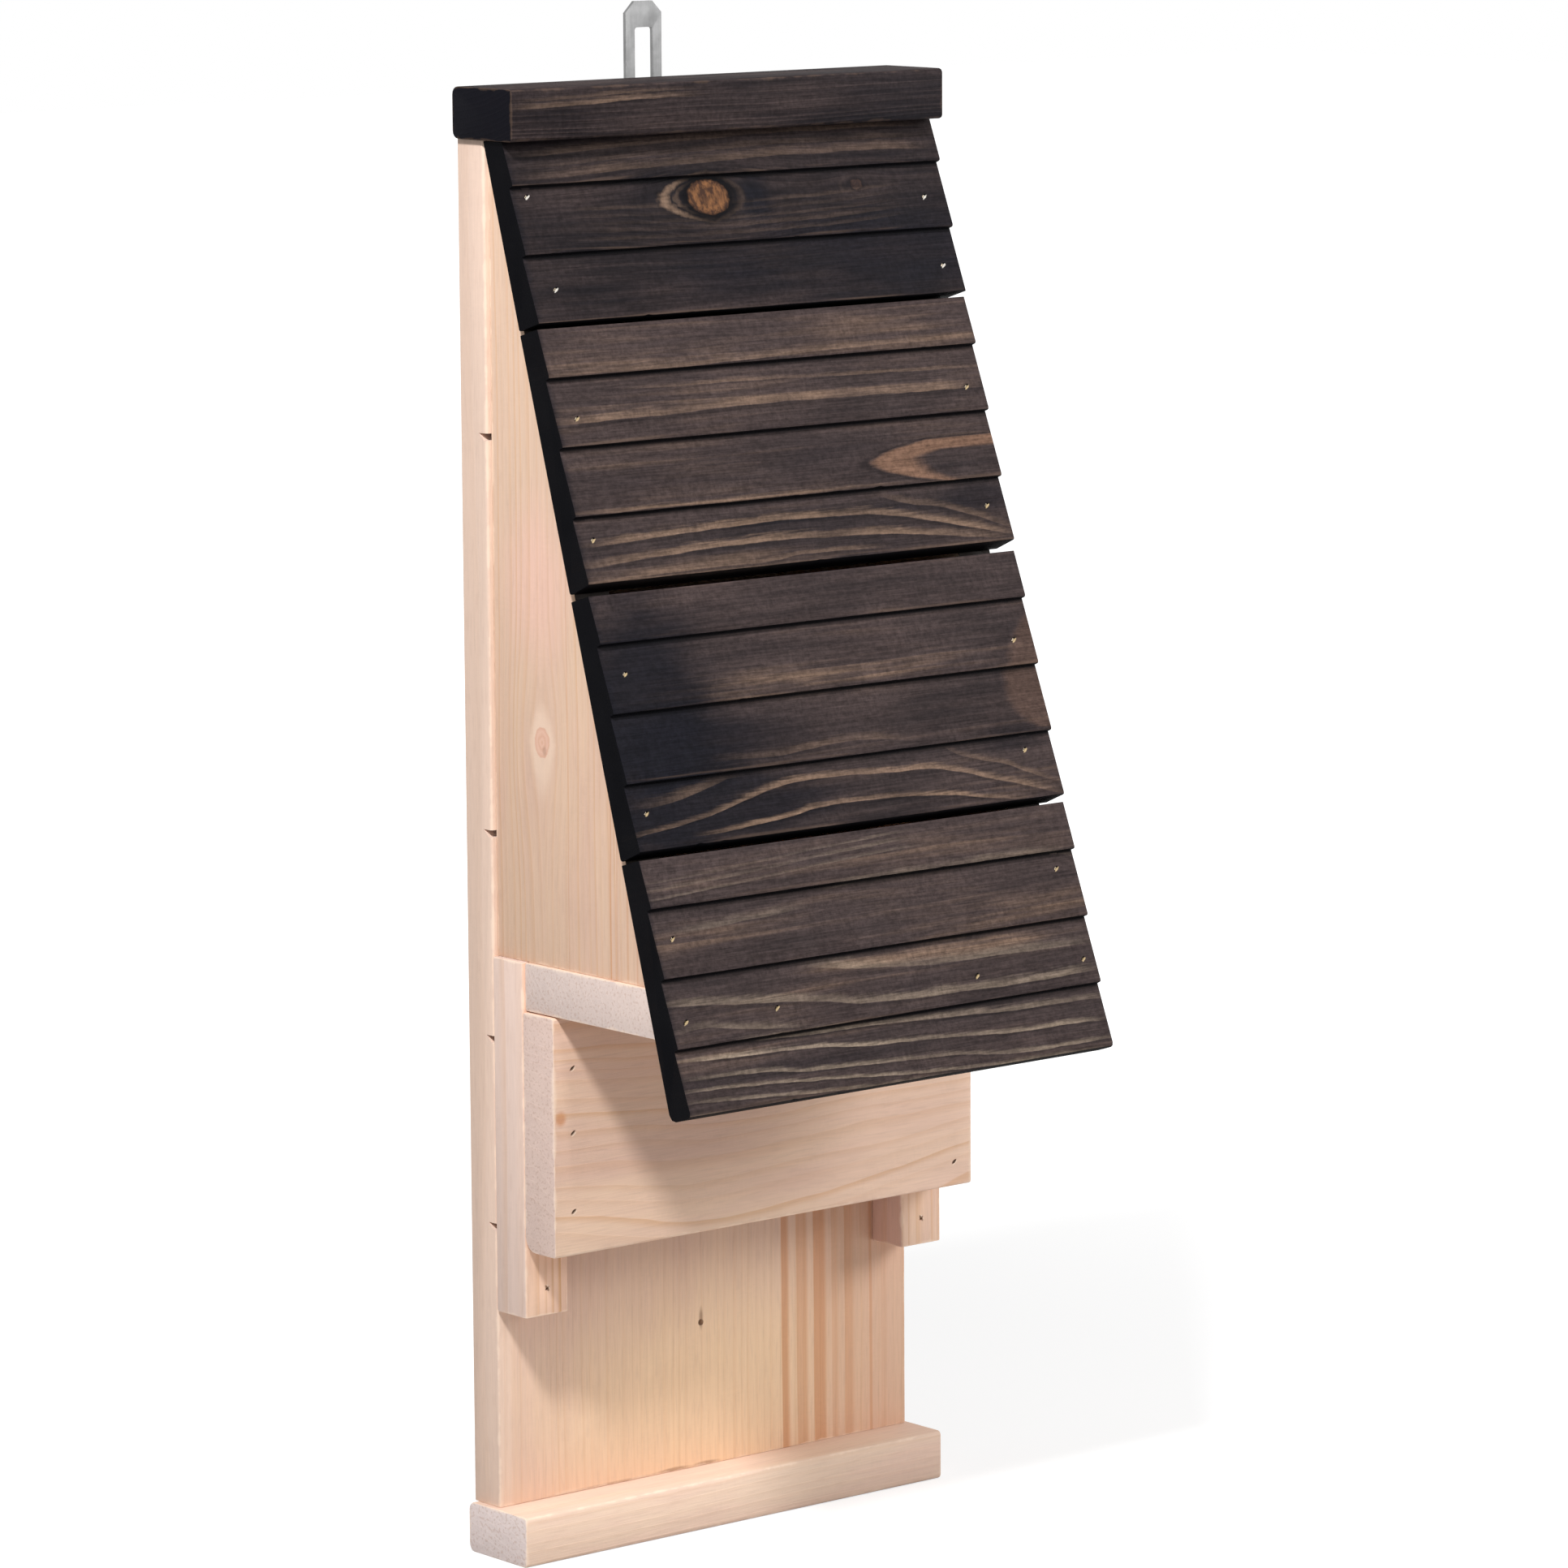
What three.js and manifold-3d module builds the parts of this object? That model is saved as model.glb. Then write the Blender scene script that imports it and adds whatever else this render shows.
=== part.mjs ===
// A wall bat box. A tall back board carries a triangular roost, closed in front by four stepped
// roof boards, and under it a narrow way in between two battens and a lower front board.
// Lengths are millimetres. +Z is up, the front looks along -Y, and the origin is the middle of
// the back board's rear face, which lies against the wall.

import * as THREE from 'three';
import { mergeVertices } from 'three/addons/utils/BufferGeometryUtils.js';
import Module from 'manifold-3d';

const wasm = await Module();
wasm.setup();

// Back board, its grip grooves and its fixing hole. Its height follows from the roof, the
// battens and the tail that is left bare below the battens.
const boardWidth = 200;
const boardThickness = 16;
const boardTail = 75.4;
const boardEdgeRadius = 1;
const gripRises = [107, 177.7, 254.6, 401];
const gripHeight = 2.6;
const gripTopDepth = 4.7;
const gripFootDepth = 1.8;
const fixingHoleRadius = 1.3;
const fixingHoleRise = 56;
const fixingHoleOffset = -2.9;

// Laths across the top and the bottom of the back board
const lathDepth = 35;
const lathHeight = 19;
const lathRearRadius = 3;
const lathFrontRadius = 1.5;
const capOverhangLeft = 1.8;
const capOverhangRight = 4.4;
const railOverhangLeft = 2.5;
const railOverhangRight = 1.6;

// Roof boards, with their step courses measured down the slope
const roofAngleDegrees = 16.6;
const roofOverhangLeft = 0.4;
const roofOverhangRight = 4.4;
const roofCapClearance = 0.3;
const courseCounts = [3, 4, 4, 4];
const boardGaps = [2.4, 3.8, 2.6];
const topCourse = 20;
const firstCourse = 18.3;
const coursePitch = 25.6;
const lastCourse = 24.7;
const tipThickness = 12.1;
const stepDepth = 2.4;
const tipRadius = 0.8;
const roofTailRadius = 3;

// Side panels, floor shelf, battens and lower front board
const panelThickness = 16;
const panelInset = 2.4;
const panelTipWidth = 1;
const eavesDrop = 25.5;
const shelfThickness = 18;
const shelfInset = 1.2;
const shelfSeatClearance = 0.4;
const battenWidth = 20;
const battenDepth = 18;
const battenLength = 133.6;
const lowerOverhangLeft = 0.6;
const lowerOverhangRight = 2.6;
const lowerBoardHeight = 89.6;
const lowerBoardThickness = 18;
const entryRadius = 6;
const woodEdgeRadius = 1;

// Hanger plate on the rear face, and its screws
const plateWidth = 17;
const plateLength = 80;
const plateThickness = 1.5;
const plateOffset = -12.2;
const plateRise = 28;
const plateChamfer = 4.3;
const slotWidth = 8.4;
const slotLength = 32;
const slotEdge = 9.7;
const slotCornerRadius = 1;
const screwRises = [24.3, 8.3];
const screwRadius = 1.5;
const screwLength = 13;
const screwHeadRadius = 3.2;
const screwHeadRimRadius = 2.4;
const screwHeadHeight = 1.8;
const recessLength = 3.4;
const recessWidth = 0.9;
const recessDepth = 0.9;

// Nails. Each roof nail is [inset from the board's end, distance down from its upper edge],
// in one list for each roof board.
const nailRadius = 0.7;
const nailHeadRadius = 1.1;
const nailHeadHeight = 1.2;
const nailLength = 28;
const nailSink = 0.4;
const roofNailSink = 0.1;
const roofNailsLeft = [
  [[7, 23.4], [11.4, 58.2]],
  [[9.6, 33.2], [6.9, 77.6]],
  [[9.6, 29.2], [7.1, 80.2]],
  [[8, 29.3]],
];
const roofNailsRight = [
  [[10.8, 32.9], [8.2, 59.7]],
  [[8.4, 34], [9.5, 79.7]],
  [[9.6, 33.6], [14, 75.2]],
  [[10, 24.4]],
];
const shelfNailInsetsLeft = [6.6, 49.1];
const shelfNailInsetsRight = [6.2, 59.2];
const shelfNailRise = 7.3;
const lowerNailInset = 8.8;
const lowerNailDrops = [19.3, 43.5];
const lowerNailRiseLeft = 16.7;
const lowerNailRiseRight = 9.6;
const battenNailRise = 10.2;
const battenNailDrop = 18.6;
const panelNailRises = [30, 120, 210];
const floorNailInset = 50;
const lathNailInset = 40;
const lathNailLength = 38;

// Clearances, cuts and facets
const slopeClearance = 0.3;
const boreClearance = 0.35;
const cutOverrun = 2;
const arcStep = 1.3;
const mergeTolerance = 0.001;
const nailSides = 8;
const screwSides = 16;

// Places that follow from the sizes
const roofAngle = THREE.MathUtils.degToRad(roofAngleDegrees);
const facetFall = stepDepth / coursePitch;
const roofBoards = layRoof();
const boardHeight = roofDrop() - eavesDrop - shelfThickness + battenLength + boardTail;
const boardTop = boardHeight / 2;
const boardBottom = -boardHeight / 2;
const boardLeft = -boardWidth / 2;
const boardRight = boardWidth / 2;
const boardFront = -boardThickness;
const capTop = boardTop + lathHeight;
const railBottom = boardBottom - lathHeight;
const roofLeft = boardLeft - roofOverhangLeft;
const roofRight = boardRight + roofOverhangRight;
const panelLeft = roofLeft + panelInset;
const panelRight = roofRight - panelInset;
const lowerLeft = boardLeft - lowerOverhangLeft;
const lowerRight = boardRight + lowerOverhangRight;
const shelfBottom = boardTop - roofDrop() + eavesDrop;
const shelfTop = shelfBottom + shelfThickness;
const battenFront = boardFront - battenDepth;
const battenBottom = shelfTop - battenLength;
const lowerFront = battenFront - lowerBoardThickness;
const lowerTop = shelfBottom - shelfSeatClearance;
const lowerBottom = lowerTop - lowerBoardHeight;
const plateTop = capTop + plateRise;
const plateBottom = plateTop - plateLength;
const slotTop = plateTop - slotEdge;
const slotBottom = slotTop - slotLength;

const pine = { color: 0xe0c0a2, roughness: 0.65, metalness: 0 };
const stainedWood = { color: 0x2b2525, roughness: 0.6, metalness: 0 };
const zincSteel = { color: 0xacacac, roughness: 0.4, metalness: 0.9 };

const across = new THREE.Vector3(1, 0, 0);
const rearwards = new THREE.Vector3(0, 1, 0);
const forwards = new THREE.Vector3(0, -1, 0);
const upwards = new THREE.Vector3(0, 0, 1);
const downwards = new THREE.Vector3(0, 0, -1);
const acrossAxes = new THREE.Matrix4().makeBasis(rearwards, upwards, across);

// A point on the roof in side view: how far down the slope from the top of the back board, and
// how far out from the rear faces of the roof boards. Its x is the model's Y and its y the Z.
function slopePoint(down, out) {
  const lift = out + slopeClearance;
  const y = boardFront - down * Math.sin(roofAngle) - lift * Math.cos(roofAngle);
  const z = boardTop - down * Math.cos(roofAngle) + lift * Math.sin(roofAngle);
  return new THREE.Vector2(y, z);
}

// The depth of the roost in front of the back board, at a height
function roostFront(height) {
  return boardFront - (boardTop - height) * Math.tan(roofAngle);
}

// The start of each roof board and the tips of its courses, down the slope. The highest board
// starts where its rear face meets the underside of the cap rail.
function layRoof() {
  let start = (roofCapClearance + slopeClearance * Math.sin(roofAngle)) / Math.cos(roofAngle);
  return courseCounts.map((courses, i) => {
    const tips = [start + (i === 0 ? topCourse : firstCourse)];
    while (tips.length < courses - 1) tips.push(tips.at(-1) + coursePitch);
    tips.push(tips.at(-1) + lastCourse);
    const board = { start, tips };
    start = tips.at(-1) + boardGaps[i];
    return board;
  });
}

// The height from the lowest edge of the roof up to the top of the back board
function roofDrop() {
  const lift = tipThickness + slopeClearance;
  return roofBoards.at(-1).tips.at(-1) * Math.cos(roofAngle) - lift * Math.sin(roofAngle);
}

// The thickness of a roof board at a place down the slope, on the face of its course
function courseThickness(board, down) {
  const tip = board.tips.find((place) => place >= down);
  return tipThickness - (tip - down) * facetFall;
}

// Where the front face of the highest roof board meets its level top, cut to fit the cap rail
function faceUnderCap(board) {
  const lift = tipThickness - board.tips[0] * facetFall + slopeClearance;
  const drop = roofCapClearance + lift * Math.sin(roofAngle);
  return drop / (Math.cos(roofAngle) - facetFall * Math.sin(roofAngle));
}

// An outline through corners [u, v, radius], each rounded by an arc of its radius
function outline(corners) {
  const count = corners.length;
  const points = corners.flatMap(([u, v, radius], i) => {
    const corner = new THREE.Vector2(u, v);
    if (!radius) return [corner];
    const [uBefore, vBefore] = corners[(i + count - 1) % count];
    const [uAfter, vAfter] = corners[(i + 1) % count];
    const before = new THREE.Vector2(uBefore, vBefore).sub(corner).normalize();
    const after = new THREE.Vector2(uAfter, vAfter).sub(corner).normalize();
    return cornerArc(corner, before, after, radius);
  });
  return new THREE.Shape(points);
}

// The points of the arc that touches both sides of a corner
function cornerArc(corner, before, after, radius) {
  const half = Math.acos(before.dot(after)) / 2;
  const middle = before.clone().add(after).normalize();
  const centre = corner.clone().addScaledVector(middle, radius / Math.sin(half));
  const first = corner.clone().addScaledVector(before, radius / Math.tan(half)).sub(centre);
  const sweep = (Math.PI - 2 * half) * Math.sign(after.cross(before));
  const steps = Math.ceil((Math.abs(sweep) * radius) / arcStep);
  const points = [];
  for (let i = 0; i <= steps; i += 1) {
    const angle = first.angle() + (sweep * i) / steps;
    const spoke = new THREE.Vector2(Math.cos(angle), Math.sin(angle));
    points.push(spoke.multiplyScalar(radius).add(centre));
  }
  return points;
}

function rectangle(uLow, uHigh, vLow, vHigh, radius) {
  return [
    [uLow, vLow, radius],
    [uHigh, vLow, radius],
    [uHigh, vHigh, radius],
    [uLow, vHigh, radius],
  ];
}

// A solid that can be cut and joined, from a closed geometry
function toSolid(geometry) {
  geometry.deleteAttribute('normal');
  geometry.deleteAttribute('uv');
  const merged = mergeVertices(geometry, mergeTolerance);
  return new wasm.Manifold(new wasm.Mesh({
    numProp: 3,
    vertProperties: new Float32Array(merged.attributes.position.array),
    triVerts: new Uint32Array(merged.index.array),
  }));
}

function toGeometry(solid) {
  const { vertProperties, triVerts } = solid.getMesh();
  const geometry = new THREE.BufferGeometry();
  geometry.setAttribute('position', new THREE.BufferAttribute(vertProperties, 3));
  geometry.setIndex(new THREE.BufferAttribute(triVerts, 1));
  geometry.computeVertexNormals();
  return geometry;
}

// A board whose outline is seen from the side, corners as [y, z, radius]
function boardAcross(corners, left, right) {
  const settings = { depth: right - left, bevelEnabled: false };
  const geometry = new THREE.ExtrudeGeometry(outline(corners), settings);
  return toSolid(geometry.applyMatrix4(acrossAxes).translate(left, 0, 0));
}

// A board whose outline is seen from above, corners as [x, y, radius]
function boardUpright(corners, bottom, top) {
  const settings = { depth: top - bottom, bevelEnabled: false };
  const geometry = new THREE.ExtrudeGeometry(outline(corners), settings);
  return toSolid(geometry.translate(0, 0, bottom));
}

// A rod that starts at a point and runs along a direction, tapering from one radius to another
function rod(start, direction, length, startRadius, endRadius, sides) {
  const geometry = new THREE.CylinderGeometry(endRadius, startRadius, length, sides);
  geometry.translate(0, length / 2, 0);
  const turn = new THREE.Quaternion().setFromUnitVectors(rearwards, direction);
  return toSolid(geometry.applyQuaternion(turn).translate(start.x, start.y, start.z));
}

// The board that lies against the wall. Each grip groove is deeper along its upper edge.
function backBoard() {
  const plan = rectangle(boardLeft, boardRight, boardFront, 0, boardEdgeRadius);
  let solid = boardUpright(plan, boardBottom, boardTop);
  for (const rise of gripRises) {
    const low = boardBottom + rise - gripHeight / 2;
    const front = boardFront - cutOverrun;
    const groove = [
      [front, low, 0],
      [boardFront + gripFootDepth, low, 0],
      [boardFront + gripTopDepth, low + gripHeight, 0],
      [front, low + gripHeight, 0],
    ];
    solid = solid.subtract(boardAcross(groove, boardLeft - cutOverrun, boardRight + cutOverrun));
  }
  const hole = new THREE.Vector3(fixingHoleOffset, boardFront - cutOverrun, boardBottom + fixingHoleRise);
  const length = boardThickness + 2 * cutOverrun;
  return solid.subtract(rod(hole, rearwards, length, fixingHoleRadius, fixingHoleRadius, nailSides));
}

// A lath that lies flush with the back board's rear face and stands out in front of it
function lath(bottom, left, right) {
  const side = [
    [-lathDepth, bottom, lathFrontRadius],
    [0, bottom, lathRearRadius],
    [0, bottom + lathHeight, lathRearRadius],
    [-lathDepth, bottom + lathHeight, lathFrontRadius],
  ];
  return boardAcross(side, left, right);
}

function upright(left) {
  const plan = rectangle(left, left + battenWidth, battenFront, boardFront, woodEdgeRadius);
  return boardUpright(plan, battenBottom, shelfTop);
}

function lowerFrontBoard() {
  const side = [
    [battenFront, lowerBottom, entryRadius],
    [battenFront, lowerTop, woodEdgeRadius],
    [lowerFront, lowerTop, woodEdgeRadius],
    [lowerFront, lowerBottom, woodEdgeRadius],
  ];
  return boardAcross(side, lowerLeft, lowerRight);
}

// The floor of the roost, with its front edge sawn to the slope of the roof
function floorShelf() {
  const side = [
    [battenFront, shelfBottom, woodEdgeRadius],
    [battenFront, shelfTop, woodEdgeRadius],
    [roostFront(shelfTop), shelfTop, 0],
    [roostFront(shelfBottom), shelfBottom, 0],
  ];
  return boardAcross(side, lowerLeft + shelfInset, lowerRight - shelfInset);
}

// A triangular side of the roost, blunt at its upper tip
function sidePanel(left) {
  const tipHeight = boardTop - panelTipWidth / Math.tan(roofAngle);
  const side = [
    [boardFront, shelfTop, 0],
    [boardFront, tipHeight, 0],
    [roostFront(tipHeight), tipHeight, 0],
    [roostFront(shelfTop), shelfTop, 0],
  ];
  return boardAcross(side, left, left + panelThickness);
}

function roofBoard(board) {
  const { start, tips } = board;
  const faceStart = board === roofBoards[0] ? faceUnderCap(board) : start;
  const corner = (down, out, radius) => [...slopePoint(down, out).toArray(), radius];
  const side = [
    corner(start, 0, woodEdgeRadius),
    corner(faceStart, courseThickness(board, faceStart), woodEdgeRadius),
  ];
  tips.forEach((tip, i) => {
    side.push(corner(tip, tipThickness, tipRadius));
    if (i === tips.length - 1) return;
    side.push(corner(tip, tipThickness - (tips[i + 1] - tip) * facetFall, 0));
  });
  side.push(corner(tips.at(-1), 0, roofTailRadius));
  return boardAcross(side, roofLeft, roofRight);
}

function screwPlaces() {
  return screwRises.map(
    (rise) => new THREE.Vector3(plateOffset, plateThickness, plateBottom + rise),
  );
}

// A steel strip that stands up behind the cap rail, with a long slot to hang on
function hangerPlate() {
  const left = plateOffset - plateWidth / 2;
  const right = plateOffset + plateWidth / 2;
  const face = outline([
    [left, plateBottom, 0],
    [right, plateBottom, 0],
    [right, plateTop - plateChamfer, 0],
    [right - plateChamfer, plateTop, 0],
    [left + plateChamfer, plateTop, 0],
    [left, plateTop - plateChamfer, 0],
  ]);
  const slotLeft = plateOffset - slotWidth / 2;
  const slotRight = plateOffset + slotWidth / 2;
  face.holes.push(outline(rectangle(slotLeft, slotRight, slotBottom, slotTop, slotCornerRadius)));
  const geometry = new THREE.ExtrudeGeometry(face, { depth: plateThickness, bevelEnabled: false });
  let solid = toSolid(geometry.rotateX(Math.PI / 2).translate(0, plateThickness, 0));
  for (const place of screwPlaces()) solid = solid.subtract(screwBore(place));
  return solid;
}

function screwBore(place) {
  const start = place.clone().addScaledVector(rearwards, cutOverrun);
  const length = screwLength + boreClearance + cutOverrun;
  const radius = screwRadius + boreClearance;
  return rod(start, forwards, length, radius, radius, screwSides);
}

// A round-headed screw with a cross recess, seated on the plate
function screw(place) {
  const { x, z } = place;
  const top = plateThickness + screwHeadHeight;
  const shank = rod(place, forwards, screwLength, screwRadius, screwRadius, screwSides);
  const head = rod(
    place, rearwards, screwHeadHeight, screwHeadRadius, screwHeadRimRadius, screwSides,
  );
  const wide = new THREE.BoxGeometry(recessLength, 2 * recessDepth, recessWidth);
  const tall = new THREE.BoxGeometry(recessWidth, 2 * recessDepth, recessLength);
  const recess = toSolid(wide.translate(x, top, z)).add(toSolid(tall.translate(x, top, z)));
  return shank.add(head).subtract(recess);
}

// Every nail: its name, the surface point where it is driven in, its direction, its length and
// how deep its head is sunk
function nails() {
  return [
    ...roofNails('left', roofLeft, 1, roofNailsLeft),
    ...roofNails('right', roofRight, -1, roofNailsRight),
    ...lowerNails('left', lowerLeft, 1, lowerNailRiseLeft, shelfNailInsetsLeft),
    ...lowerNails('right', lowerRight, -1, lowerNailRiseRight, shelfNailInsetsRight),
    ...hiddenNails('left', boardLeft, panelLeft + panelThickness / 2, 1),
    ...hiddenNails('right', boardRight, panelRight - panelThickness / 2, -1),
  ];
}

// Nails through the roof boards into the side panels, square to the slope
function roofNails(side, end, inward, lists) {
  const travel = new THREE.Vector3(0, Math.cos(roofAngle), -Math.sin(roofAngle));
  const places = lists.flatMap((list, i) => list.map(([inset, drop]) => {
    const board = roofBoards[i];
    const down = board.start + drop;
    const point = slopePoint(down, courseThickness(board, down));
    return new THREE.Vector3(end + inward * inset, point.x, point.y);
  }));
  return places.map((place, i) => ({
    name: `roof_nail_${side}_${i + 1}`, place, travel, length: nailLength, sink: roofNailSink,
  }));
}

// Level nails: through the lowest roof board into the shelf, through the lower board into the
// batten, and through the batten into the back board
function lowerNails(side, end, inward, lowestRise, shelfInsets) {
  const board = roofBoards.at(-1);
  const shelfHeight = shelfBottom + shelfNailRise;
  const slope = slopePoint(board.start, 0);
  const down = board.start + (slope.y - shelfHeight) / Math.cos(roofAngle);
  const face = slopePoint(down, courseThickness(board, down));
  const level = face.x - (face.y - shelfHeight) * Math.tan(roofAngle);
  const roofEnd = inward > 0 ? roofLeft : roofRight;
  const nailX = end + inward * lowerNailInset;
  const battenX = end + (inward * battenWidth) / 2;
  const shelf = shelfInsets.map(
    (inset) => new THREE.Vector3(roofEnd + inward * inset, level, shelfHeight),
  );
  const lowerHeights = [...lowerNailDrops.map((drop) => lowerTop - drop), lowerBottom + lowestRise];
  const lower = lowerHeights.map((height) => new THREE.Vector3(nailX, lowerFront, height));
  const battenHeights = [battenBottom + battenNailRise, shelfTop - battenNailDrop];
  const batten = battenHeights.map((height) => new THREE.Vector3(battenX, battenFront, height));
  const driven = (kind, places, sink) => places.map((place, i) => ({
    name: `${kind}_nail_${side}_${i + 1}`, place, travel: rearwards, length: nailLength, sink,
  }));
  return [
    ...driven('shelf', shelf, roofNailSink),
    ...driven('lower', lower, nailSink),
    ...driven('batten', batten, nailSink),
  ];
}

// Nails that do not show from the front: from behind into a side panel, from above through the
// cap rail and the shelf, and from below through the bottom rail
function hiddenNails(side, end, panelMiddle, inward) {
  const lathX = end + inward * lathNailInset;
  const lathY = boardFront / 2;
  const floorX = end + inward * floorNailInset;
  const floorY = battenFront - lowerBoardThickness / 2;
  const sink = nailSink;
  const panel = panelNailRises.map((rise, i) => ({
    name: `panel_nail_${side}_${i + 1}`,
    place: new THREE.Vector3(panelMiddle, 0, shelfTop + rise),
    travel: forwards,
    length: nailLength,
    sink,
  }));
  const vertical = [
    ['cap', new THREE.Vector3(lathX, lathY, capTop), downwards, lathNailLength],
    ['rail', new THREE.Vector3(lathX, lathY, railBottom), upwards, lathNailLength],
    ['floor', new THREE.Vector3(floorX, floorY, shelfTop), downwards, nailLength],
  ];
  const others = vertical.map(([kind, place, travel, length]) => ({
    name: `${kind}_nail_${side}`, place, travel, length, sink,
  }));
  return [...panel, ...others];
}

function nail({ place, travel, length, sink }) {
  const top = place.clone().addScaledVector(travel, sink);
  const shank = rod(top, travel, length, nailRadius, nailRadius, nailSides);
  return shank.add(rod(top, travel, nailHeadHeight, nailHeadRadius, nailHeadRadius, nailSides));
}

function nailBore({ place, travel, length, sink }) {
  const start = place.clone().addScaledVector(travel, -cutOverrun);
  const depth = length + sink + boreClearance + cutOverrun;
  const radius = nailHeadRadius + boreClearance;
  return rod(start, travel, depth, radius, radius, nailSides);
}

function boxOf(solid) {
  const { min, max } = solid.boundingBox();
  return new THREE.Box3(new THREE.Vector3(...min), new THREE.Vector3(...max));
}

// A board with the holes of every nail and screw that reaches it
function drilled(solid, bores) {
  const box = boxOf(solid);
  return bores.filter((bore) => boxOf(bore).intersectsBox(box)).reduce(
    (board, bore) => board.subtract(bore),
    solid,
  );
}

const batBox = new THREE.Group();

function addPiece(name, solid, finish) {
  const mesh = new THREE.Mesh(toGeometry(solid), new THREE.MeshStandardMaterial(finish));
  mesh.name = name;
  batBox.add(mesh);
}

const allNails = nails();
const bores = [...allNails.map(nailBore), ...screwPlaces().map(screwBore)];

const pineBoards = {
  back_board: backBoard(),
  bottom_rail: lath(railBottom, boardLeft - railOverhangLeft, boardRight + railOverhangRight),
  side_panel_left: sidePanel(panelLeft),
  side_panel_right: sidePanel(panelRight - panelThickness),
  batten_left: upright(lowerLeft),
  batten_right: upright(lowerRight - battenWidth),
  floor_shelf: floorShelf(),
  lower_front_board: lowerFrontBoard(),
};

const capRail = lath(boardTop, boardLeft - capOverhangLeft, boardRight + capOverhangRight);

for (const [name, solid] of Object.entries(pineBoards)) {
  addPiece(name, drilled(solid, bores), pine);
}
addPiece('cap_rail', drilled(capRail, bores), stainedWood);
roofBoards.forEach((board, i) => {
  addPiece(`roof_board_${i + 1}`, drilled(roofBoard(board), bores), stainedWood);
});
addPiece('hanger_plate', hangerPlate(), zincSteel);
screwPlaces().forEach((place, i) => {
  addPiece(`hanger_screw_${i + 1}`, screw(place), zincSteel);
});
for (const driven of allNails) addPiece(driven.name, nail(driven), zincSteel);

export default batBox;
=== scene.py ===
# %% [markdown]
# # A bat box, dressed
# The packed model is the fixed frame: every board, nail and screw already has its place in it.
# This lesson dresses that frame. It sets a camera and a studio, grows timber in shader nodes,
# cuts the stepped roof boards with Geometry Nodes, and gives each board its own figure.

# %% Load the frame
from math import cos, radians, sin

import bmesh
import bpy
from mathutils import Matrix, Vector


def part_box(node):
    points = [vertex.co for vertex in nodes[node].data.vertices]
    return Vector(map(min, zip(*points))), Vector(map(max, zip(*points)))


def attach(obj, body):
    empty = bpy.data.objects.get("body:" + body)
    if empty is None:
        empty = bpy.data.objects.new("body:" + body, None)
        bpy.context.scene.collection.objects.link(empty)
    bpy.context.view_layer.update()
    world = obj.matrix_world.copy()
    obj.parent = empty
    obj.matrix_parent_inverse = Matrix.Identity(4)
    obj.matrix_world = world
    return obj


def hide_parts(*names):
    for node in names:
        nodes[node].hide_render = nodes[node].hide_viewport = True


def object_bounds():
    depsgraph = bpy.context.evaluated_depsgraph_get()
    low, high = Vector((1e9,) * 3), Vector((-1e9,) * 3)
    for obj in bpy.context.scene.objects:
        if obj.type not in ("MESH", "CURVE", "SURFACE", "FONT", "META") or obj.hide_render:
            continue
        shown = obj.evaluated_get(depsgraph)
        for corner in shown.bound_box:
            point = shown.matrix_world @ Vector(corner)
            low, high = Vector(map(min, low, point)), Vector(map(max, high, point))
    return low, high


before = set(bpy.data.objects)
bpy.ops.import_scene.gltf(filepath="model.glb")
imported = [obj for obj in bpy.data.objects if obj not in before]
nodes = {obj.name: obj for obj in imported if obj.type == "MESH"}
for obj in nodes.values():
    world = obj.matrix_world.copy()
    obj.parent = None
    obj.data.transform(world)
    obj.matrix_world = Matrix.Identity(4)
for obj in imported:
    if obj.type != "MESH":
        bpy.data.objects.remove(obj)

MM = 0.001
cad_low, cad_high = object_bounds()
print(len(nodes), "nodes in a box of", [round(side / MM, 1) for side in cad_high - cad_low], "mm")

# %% [markdown]
# ## The camera comes first
# A long lens from the front left, a little above the middle of the box. A camera looks down its
# own -Z axis, so its matrix is written from the three directions right, up and back.

# %% Camera
YAW, PITCH, ROLL = radians(39.82), radians(8.76), radians(-0.36)
CAMERA_PLACE = Vector((-1.6495, -2.0423, 0.4108))
FOCAL_PIXELS, IMAGE_PIXELS, SENSOR_WIDTH = 8656.9, 1932, 36


def add_camera():
    ahead = Vector((sin(YAW) * cos(PITCH), cos(YAW) * cos(PITCH), -sin(PITCH)))
    level = Vector((cos(YAW), -sin(YAW), 0))
    lift = level.cross(ahead)
    right = cos(ROLL) * level + sin(ROLL) * lift
    upward = cos(ROLL) * lift - sin(ROLL) * level
    data = bpy.data.cameras.new("camera")
    data.sensor_width = SENSOR_WIDTH
    data.lens = SENSOR_WIDTH * FOCAL_PIXELS / IMAGE_PIXELS
    data.clip_start, data.clip_end = 0.1, 50
    camera = bpy.data.objects.new("camera", data)
    bpy.context.scene.collection.objects.link(camera)
    turn = Matrix((right, upward, -ahead)).transposed().to_4x4()
    camera.matrix_world = Matrix.Translation(CAMERA_PLACE) @ turn
    bpy.context.scene.camera = camera
    return data


print("lens", round(add_camera().lens, 1), "mm")

# %% [markdown]
# ## Writing shader nodes from a script
# Nodes can be joined one link at a time, but a wood finish needs hundreds. Here a sketch adds
# nodes to one tree and hands back wires. Each sign between wires writes a Math node, so that a
# pattern reads like a sum on paper.

# %% A sketch of nodes
def srgb(red, green, blue):
    """A colour given 0 to 255, as the linear colour that a shader takes."""
    def linear(level):
        level /= 255
        return level / 12.92 if level <= 0.04045 else ((level + 0.055) / 1.055) ** 2.4
    return (linear(red), linear(green), linear(blue), 1)


def sign(operation, swapped=False):
    """A sign for wires. It adds a Math node that does the operation."""
    def write(wire, other):
        return wire.sketch.math(operation, *((other, wire) if swapped else (wire, other)))
    return write


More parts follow.
